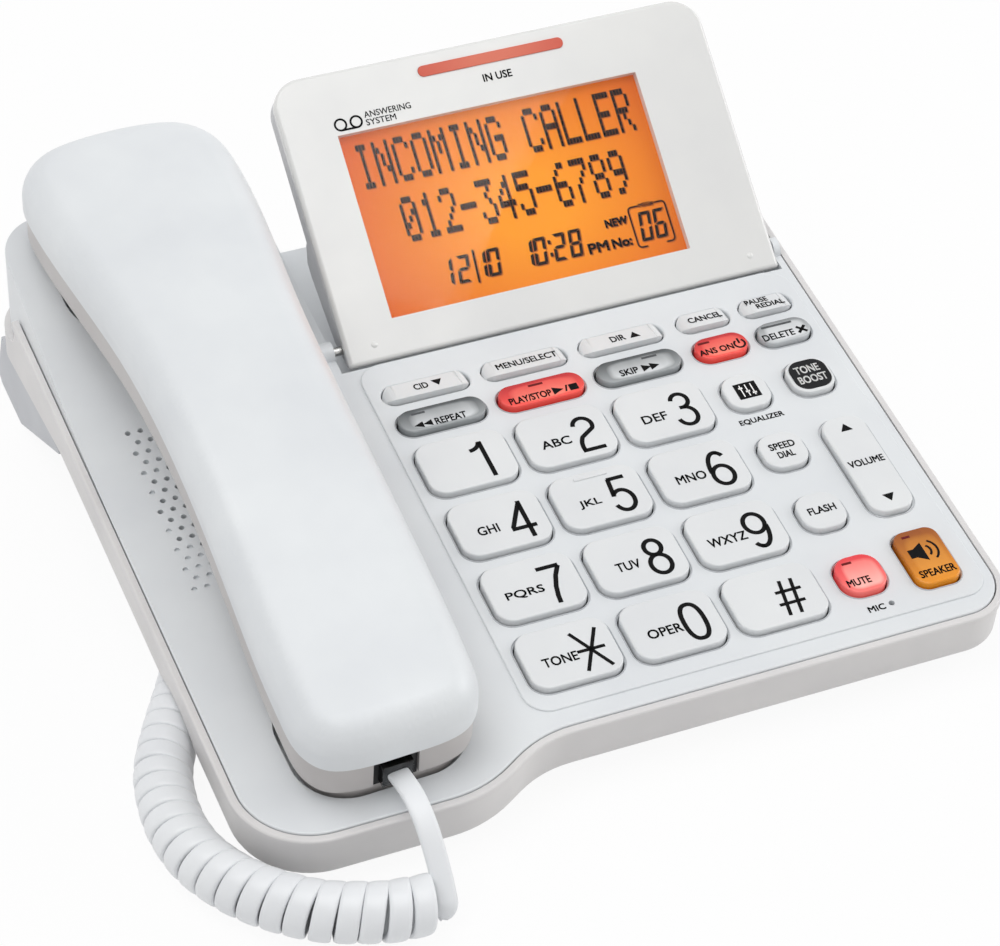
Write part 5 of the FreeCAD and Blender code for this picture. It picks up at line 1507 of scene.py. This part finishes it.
# ------------------------------------------------------------------------------ cord
@dataclass
class HandsetCord:
    """The curly cord with its flat leads, along routes in the floor's frame."""

    coil_route: tuple[Point, ...] = (
        (-71.8, -74.8, 7.25), (-80.5, -74.9, 7.25), (-89.0, -71.8, 7.25), (-96.7, -68.4, 7.25),
        (-102.9, -63.6, 7.25), (-109.2, -57.4, 7.25), (-114.5, -49.5, 7.25), (-118.2, -40.8, 7.25),
        (-119.6, -30.8, 7.25), (-119.0, -21.1, 7.25), (-117.2, -12.2, 7.25), (-113.2, -3.4, 7.25),
        (-108.1, 5.9, 7.25), (-103.6, 13.6, 7.25), (-99.4, 22.1, 7.25), (-94.5, 31.5, 7.25),
        (-91.0, 39.5, 7.25), (-89.9, 46.5, 7.25))
    lead_route: tuple[Point, ...] = (
        (-70.903, -48.898, 23.682), (-70.4, -55.0, 24.4), (-70.1, -60.6, 23.3), (-69.8, -65.2, 20.3),
        (-69.5, -69.0, 15.8), (-69.3, -74.0, 9.2), (-69.5, -77.6, 3.2))
    base_route: tuple[Point, ...] = (
        (-89.9, 46.5, 7.25), (-88.7, 54.2, 7.25), (-88.9, 61.7, 9.3), (-89.7, 68.6, 13.2),
        (-90.7, 75.4, 17.8), (-91.5, 82.4, 22.4), (-92.0, 89.7, 26.5), (-92.0, 97.227, 28.011))
    band: Flat = (5.3, 2.2)
    squareness: Flat = (0.6, 0.5)
    sides: int = 16
    coil_radius: float = 6.05
    turns: float = 29.5
    steps_a_turn: int = 24
    hand: float = -1.0
    run_in: float = 0.6
    run_out: float = 0.75
    lead_steps: int = 60
    base_steps: int = 70
    turn_ease: tuple[int, int] = (9, 60)
    bend_ease: tuple[int, int] = (5, 24)

    @staticmethod
    def route(points: Sequence[Point], steps: int) -> list[Vector]:
        """Draws the smooth line of a route.

        Args:
            points: The route's control points.
            steps: Points made for each control point.

        Returns:
            Points in the row frame, in order.
        """
        data = bpy.data.curves.new("route", "CURVE")
        data.dimensions = "3D"
        data.resolution_u = steps
        spline = data.splines.new("NURBS")
        spline.points.add(len(points) - 1)
        for held, point in zip(spline.points, points):
            held.co = (*(Place.FLOOR @ Vector(point)), 1.0)
        spline.order_u = 3
        spline.use_endpoint_u = True
        carrier = Bench.link("route", data)
        bpy.context.view_layer.update()
        drawn = bpy.data.meshes.new_from_object(carrier)
        line = [v.co.copy() for v in drawn.vertices]
        bpy.data.objects.remove(carrier)
        bpy.data.meshes.remove(drawn)
        return line

    @staticmethod
    def length(line: Sequence[Vector]) -> float:
        """Length of a line of points."""
        return sum((b - a).length for a, b in zip(line, line[1:]))

    @staticmethod
    def spaced(line: Sequence[Vector], count: int) -> list[Vector]:
        """Draws the same line with points at even spacing.

        Args:
            line: Its points.
            count: Number of spans wanted.

        Returns:
            The new points, one more than the spans.
        """
        marks = [0.0]
        for a, b in zip(line, line[1:]):
            marks.append(marks[-1] + (b - a).length)
        result, i = [], 0
        for k in range(count + 1):
            goal = marks[-1] * k / count
            while i < len(line) - 2 and marks[i + 1] < goal:
                i += 1
            share = (goal - marks[i]) / max(marks[i + 1] - marks[i], 1e-12)
            result.append(line[i].lerp(line[i + 1], min(max(share, 0.0), 1.0)))
        return result

    def helix(self, axis: Sequence[Vector], start: Vector) -> tuple[list[Vector], list[Vector]]:
        """Winds turns round an axis, from a start point to the axis's end.

        Args:
            axis: Evenly spaced points of the coil's middle line.
            start: Where the winding starts, near the axis.

        Returns:
            Points of the winding, and the outward direction at each.
        """
        side = Vector((0, 0, 1))
        points, outward = [], []
        count = len(axis) - 1
        for i, here in enumerate(axis):
            along = (axis[min(i + 1, count)] - axis[max(i - 1, 0)]).normalized()
            side = (side - along * side.dot(along)).normalized()
            other = along.cross(side)
            if i == 0:
                off = start - here
                first = math.atan2(off.dot(other), off.dot(side))
                near = (off - along * off.dot(along)).length
            turn = self.turns * i / count
            angle = first + self.hand * math.tau * turn
            ramp = min(turn / self.run_in, 1.0)
            fall = min((self.turns - turn) / self.run_out, 1.0)
            radius = near * (1 - ramp) + self.coil_radius * Place.MM * ramp
            out = side * math.cos(angle) + other * math.sin(angle)
            points.append(here + out * radius * math.sin(fall * math.pi / 2))
            outward.append(out)
        return points, outward

    @staticmethod
    def eased(line: Sequence[Vector], middle: int, reach: int, rounds: int) -> list[Vector]:
        """Rounds off the corner at one point of a line of points or directions.

        Args:
            line: The points, or the directions at them.
            middle: Which of them is the corner.
            reach: How many to each side may move.
            rounds: How often each is drawn towards its neighbours.

        Returns:
            As many points or directions.
        """
        line = [p.copy() for p in line]
        for _ in range(rounds):
            for i in range(middle - reach, middle + reach + 1):
                line[i] = (line[i - 1] + line[i] * 2 + line[i + 1]) / 4
        return line

    def section(self) -> list[Flat]:
        """Draws the band's cross section, a flat oval with squarish ends.

        Returns:
            Its points in metres, across the band and out of its flat.
        """
        points = []
        for i in range(self.sides):
            angle = math.tau * i / self.sides
            parts = [math.copysign(abs(wave) ** power, wave) * size * Place.MM / 2 for wave, power, size in
                     zip((math.cos(angle), math.sin(angle)), self.squareness, self.band)]
            points.append(tuple(parts))
        return points

    def strip(self, name: str, line: Sequence[Vector], outward: Sequence[Vector]) -> Piece:
        """Draws the band along a line.

        Args:
            name: The piece's name.
            line: Points that it follows, in metres.
            outward: The direction square to its flat at each point.

        Returns:
            The band, closed at both ends.
        """
        section = self.section()
        points, faces = [], []
        ring, last = len(section), len(line) - 1
        for i, (here, out) in enumerate(zip(line, outward)):
            along = (line[min(i + 1, last)] - line[max(i - 1, 0)]).normalized()
            out = (out - along * out.dot(along)).normalized()
            across = along.cross(out)
            points += [here + across * a + out * b for a, b in section]
        for i in range(last):
            for k in range(ring):
                a, b = i * ring + k, i * ring + (k + 1) % ring
                faces.append([a, b, b + ring, a + ring])
        faces.append(list(range(ring))[::-1])
        faces.append(list(range(last * ring, (last + 1) * ring)))
        piece = Bench.surface(name, points, faces)
        Bench.smooth(piece, 60.0)
        Bench.dress(piece, CORD_WHITE)
        return piece

    def declare(self, line: Sequence[Vector]) -> None:
        """Works out the length of a piece of cord, and keeps nothing.

        Args:
            line: Points that it follows, from where it leaves the hard part.
        """
        self.length(line)

    def build(self) -> None:
        lead = self.spaced(self.route(self.lead_route, 8), self.lead_steps)
        under = self.spaced(self.route(self.base_route, 8), self.base_steps)
        axis = self.spaced(self.route(self.coil_route, 12), int(self.turns * self.steps_a_turn))
        coil, outward = self.helix(axis, lead[-1])
        joint = len(lead) - 1
        facing = self.eased([Vector((0.0, -0.7, 0.7))] * joint + outward, joint, *self.turn_ease)
        whole = self.eased(lead[:-1] + coil, joint, *self.bend_ease)
        lead, coil = whole[:joint + 1], whole[joint:]
        curly = self.strip("curly_cord_band", coil, facing[joint:])
        Bench.fit(curly, "base", "cord", "curly_cord")
        self.declare(coil)
        flat = self.strip("handset_lead", lead, facing[:joint + 1])
        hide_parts("handset_cord_lead")
        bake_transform(flat)
        self.declare(lead)
        below = self.strip("base_lead", under, [Vector((0.0, -0.3, 1.0))] * len(under))
        Bench.fit(below, "base", "cord", "base_cord_lead")
        self.declare(under[::-1])


# ------------------------------------------------------------------------------ studio
@dataclass
class Studio:
    """Camera, soft light and a pale floor."""

    eye: Point = (-0.238150, -0.600861, 0.537826)
    azimuth: float = -21.952
    elevation: float = 38.825
    lens: float = 115.10
    lamps: dict[str, tuple[Point, float]] = field(default_factory=lambda: {
        "key_light": ((-0.5, 0.1, 1.6), 9.5), "fill_light": ((1.6, -0.2, 0.8), 9.0)})
    lamp_size: float = 1.0
    aim: Point = (0.0, 0.0, 0.03)
    sheen: tuple[Flat, Flat] = ((50.0, 75.1), (-2.9, 3.8))
    card_size: Flat = (1.0, 0.6)
    card_power: float = 4.2
    card_off: float = 1.1
    dim: float = 0.62
    floor_glow: float = 0.93

    def camera(self) -> None:
        """Sets the camera up."""
        a, e = math.radians(self.azimuth), math.radians(self.elevation)
        back = Vector((math.sin(a) * math.cos(e), -math.cos(a) * math.cos(e), math.sin(e)))
        right = Vector((0, 0, 1)).cross(back).normalized()
        data = bpy.data.cameras.new("camera")
        data.lens = self.lens
        data.sensor_width = 36.0
        data.sensor_fit = "HORIZONTAL"
        data.clip_start = 0.01
        piece = Bench.link("camera", data)
        turn = Matrix((right, back.cross(right), back)).transposed().to_4x4()
        piece.matrix_world = Matrix.Translation(self.eye) @ turn
        bpy.context.scene.camera = piece

    def lamp(self, name: str, place: Point, power: float) -> None:
        """Sets up a square soft light.

        Args:
            name: Its name.
            place: Where it hangs, aimed at the telephone.
            power: Its power in watts.
        """
        data = bpy.data.lights.new(name, "AREA")
        data.shape = "SQUARE"
        data.size = self.lamp_size
        data.energy = power
        piece = Bench.link(name, data)
        piece.location = place
        piece.rotation_euler = (Vector(place) - Vector(self.aim)).to_track_quat("Z", "Y").to_euler()

    def card(self) -> None:
        """Hangs a pale card where the display mirrors it, its near edge from one sheen point to the other."""
        face = Place.HEAD
        normal = (face.to_3x3() @ Vector((0, 0, 1))).normalized()
        eye = Vector(self.eye)
        eye = eye - 2 * (eye - face.translation).dot(normal) * normal
        far, near = [face @ Vector((*spot, 0.0)) for spot in self.sheen]
        far, near = [eye + (spot - eye) * (1 + self.card_off / (spot - eye).length) for spot in (far, near)]
        along = (far - near).normalized()
        facing = (face @ Vector((20, 40, 0)) - (far + near) / 2).normalized()
        facing = (facing - facing.dot(along) * along).normalized()
        side = facing.cross(along).normalized()
        side = side if side.x < 0 else -side
        data = bpy.data.lights.new("card_light", "AREA")
        data.shape = "RECTANGLE"
        data.size, data.size_y = self.card_size
        data.energy = self.card_power
        piece = Bench.link("card_light", data)
        out = -facing
        turn = Matrix((along, out.cross(along), out)).transposed().to_4x4()
        piece.matrix_world = Matrix.Translation((far + near) / 2 + side * data.size_y / 2) @ turn
        piece.visible_camera = piece.visible_diffuse = False

    @staticmethod
    def seen(tree: bpy.types.NodeTree) -> Socket:
        """Tells the rays that see the surroundings directly, in gloss or through glass.

        Args:
            tree: Nodes of the floor or of the world.

        Returns:
            1 for such rays and 0 for others.
        """
        rays = tree.nodes.new("ShaderNodeLightPath").outputs
        found = rays["Is Camera Ray"]
        for kind in ("Is Glossy Ray", "Is Transmission Ray"):
            either = tree.nodes.new("ShaderNodeMath")
            either.operation = "MAXIMUM"
            tree.links.new(found, either.inputs[0])
            tree.links.new(rays[kind], either.inputs[1])
            found = either.outputs[0]
        return found

    def floor(self) -> None:
        """Lays a wide white floor that keeps the shadow."""
        Bench.clear()
        bpy.ops.mesh.primitive_plane_add(size=8.0, location=(0, 0, 0))
        floor = bpy.context.active_object
        floor.name = "floor"
        nodes = Nodes("floor_white")
        nodes.give(base_color=(0.86, 0.86, 0.86, 1.0), roughness=0.9, specular_ior_level=0.1)
        glow = nodes.add("ShaderNodeEmission", color=(1.0, 1.0, 1.0, 1.0))
        mix = nodes.add("ShaderNodeMixShader")
        share = nodes.math("MULTIPLY", self.seen(nodes.tree), self.floor_glow)
        for place, value in enumerate((share, nodes.shader.outputs[0], glow.outputs[0])):
            nodes.set(mix.inputs[place], value)
        nodes.set(nodes.tree.nodes["Material Output"].inputs["Surface"], mix.outputs[0])
        floor.data.materials.append(nodes.material)

    def world(self) -> None:
        """Makes the surroundings plain and pale, and white where they are seen."""
        world = bpy.data.worlds.new("surroundings")
        bpy.context.scene.world = world
        world.use_nodes = True
        tree = world.node_tree
        ground = tree.nodes["Background"].inputs
        ground["Color"].default_value = (1.0, 1.0, 1.0, 1.0)
        level = tree.nodes.new("ShaderNodeMapRange")
        level.inputs["To Min"].default_value = self.dim
        level.inputs["To Max"].default_value = 1.0
        tree.links.new(self.seen(tree), level.inputs["Value"])
        tree.links.new(level.outputs[0], ground["Strength"])

    def build(self) -> None:
        """Sets the stage."""
        self.camera()
        self.world()
        self.floor()
        for name, (place, power) in self.lamps.items():
            self.lamp(name, place, power)
        self.card()
        bpy.context.scene.view_settings.view_transform = "Standard"


def main() -> None:
    """Builds the telephone and its stage, in order."""
    logging.basicConfig(level=logging.INFO, format="%(name)s: %(message)s")
    Bench.clear()
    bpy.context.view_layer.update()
    for part in (Studio(), HandsetCord(), Housing(), Handset(), Insides(), Display(), Keypad()):
        part.build()
        LOG.info("%s built", type(part).__name__)


if __name__ == "__main__":
    main()
